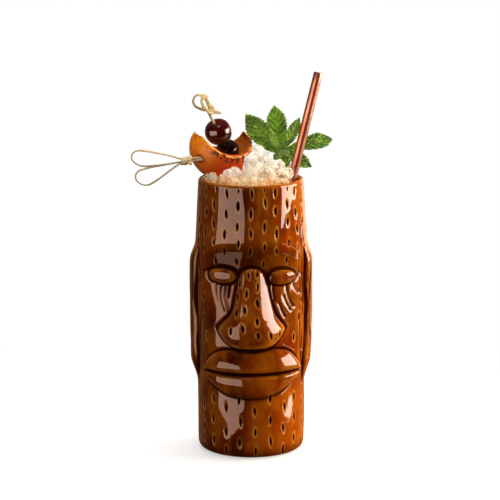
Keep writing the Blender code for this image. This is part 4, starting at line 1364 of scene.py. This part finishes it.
def build_world():
    """White to the camera, dim to reflections, so that the glaze shows the lights and little else."""
    world = bpy.data.worlds.new("studio")
    bpy.context.scene.world = world
    n = Nodes(world)
    ray = n.node("LightPath").outputs
    split = n.node("SeparateXYZ", {0: n.node("TexCoord").outputs["Generated"]})
    behind = n.node("MapRange", {"Value": split.outputs["Y"]}).outputs[0]
    glossy = n.mix(behind, (0.02, 0.013, 0.009, 1), (0.2, 0.14, 0.09, 1))
    through = n.mix(ray["Is Transmission Ray"], glossy, (0.95, 0.93, 0.9, 1))
    spread = n.mix(ray["Is Diffuse Ray"], through, (0.13, 0.12, 0.115, 1))
    n.feed(n.tree.nodes["Background"].inputs["Color"], n.mix(ray["Is Camera Ray"], spread, (1, 1, 1, 1)))


def build_floor():
    """A pale floor that melts into the backdrop, and that reflections and shadows pass through."""
    bm = bmesh.new()
    bmesh.ops.create_grid(bm, x_segments=8, y_segments=8, size=FLOOR_SIZE)
    floor = loose(bm, "floor")
    floor.location.z = -FLOOR_DROP
    p = Paint("floor_pale")
    ray = p.node("LightPath").outputs
    grain = p.node("TexNoise", {"Scale": 60}).outputs["Fac"]
    tint = p.mix(grain, (0.62, 0.62, 0.62, 1), (0.64, 0.64, 0.64, 1))
    far = p.node("VectorMath", {0: p.place}, operation="LENGTH").outputs["Value"]
    either = p.math("MAXIMUM", ray["Is Glossy Ray"], ray["Is Shadow Ray"])
    clear = p.math("MAXIMUM", either, p.between(far, *FLOOR_FADE))
    p.blend_shaders(clear, p.node("BsdfTransparent"))
    floor.data.materials.append(p.finish(
        Roughness=0.9, Specular_IOR_Level=0, Emission_Color=(1, 1, 1, 1),
        Emission_Strength=p.times(ray["Is Camera Ray"], FLOOR_LIFT),
        Base_Color=p.mix(ray["Is Camera Ray"], (0.3, 0.28, 0.26, 1), tint)))


def softbox(mirror, name, bearing, distance, height, wide, tall, glow, colour, aim_height):
    """A light round the mug. Bearing 0 is the camera's side, and it grows to the right.
    A mirror light is only seen in reflections, and any other only lights surfaces."""
    light = bpy.data.lights.new(name, "AREA")
    light.shape = "RECTANGLE"
    light.size, light.size_y = wide, tall
    light.energy = glow * math.pi * wide * tall
    light.color = colour
    made = linked(name, light)
    turn = math.radians(bearing)
    made.location = (math.sin(turn) * distance, -math.cos(turn) * distance, height)
    made.rotation_euler = (Vector((0, 0, aim_height)) - made.location).to_track_quat("-Z", "Y").to_euler()
    made.visible_camera = False
    made.visible_diffuse = not mirror
    made.visible_glossy = mirror
    return made


def build_lights():
    """The cards that the glaze mirrors, and the lamps, the last of which lights only the garnish."""
    for card in CARDS:
        softbox(True, *card)
    for lamp in LAMPS:
        last = softbox(False, *lamp)
    garnish = bpy.data.collections.new("garnish")
    for piece in bpy.context.scene.objects:
        if piece.type == "MESH" and piece.name.startswith(GARNISH):
            garnish.objects.link(piece)
    last.light_linking.receiver_collection = garnish


def build_camera():
    """A long lens that looks slightly down."""
    camera = bpy.data.cameras.new("camera")
    camera.lens = CAMERA_LENS
    camera.sensor_width = CAMERA_SENSOR
    camera.clip_start = 0.1
    made = linked("camera", camera)
    tilt = math.radians(CAMERA_ELEVATION)
    away = Vector((0, -math.cos(tilt), math.sin(tilt))) * CAMERA_DISTANCE
    made.location = (Vector(CAMERA_AIM) + away) * MM
    made.rotation_euler = (math.radians(90 - CAMERA_ELEVATION), 0, 0)
    bpy.context.scene.camera = made


# ---- everything ----

def main():
    build_mug(glaze_material())
    build_straw(copper_material())
    nugget = ice_material("ice_clear", 0.12, 0.55, 0.6)
    packed = ice_material("ice_crushed", 0.3, 0.7, 1)
    build_ice(nugget)
    build_packed_ice(packed)
    build_crumbs(nugget)
    drink = frame["nodes"]["drink"]
    drink.data.materials.clear()
    drink.data.materials.append(drink_material())

    large, small = middle_of("cherry_large")[0], middle_of("cherry_small")[0]
    pick_way = unit(small - large)
    build_fruit(fruit_material(), small, pick_way)
    build_cherry("cherry_red", "cherry_large", (48, 3, 6), (82, 6, 10), pick_way, 0.6)
    build_cherry("cherry_dark", "cherry_small", (24, 3, 5), (46, 6, 8), pick_way, 2.2)
    build_knotted_pick(bamboo_material("bamboo_knotted", (234, 212, 162), (170, 138, 80)),
                       large, small + pick_way * PICK_IN_FRUIT, pick_way)
    build_looped_pick(bamboo_material("bamboo_looped", (240, 220, 178), (176, 146, 98)))
    build_mint(mint_material("mint_green", (142, 188, 40), (56, 104, 14), (190, 216, 100)),
               mint_material("mint_young", (166, 212, 66), (98, 154, 34), (198, 226, 120)),
               mint_material("mint_stem_green", (126, 160, 70), (84, 116, 44), (150, 180, 90)))
    build_world()
    build_floor()
    build_lights()
    build_camera()
    bpy.context.scene.view_settings.view_transform = "Standard"


main()
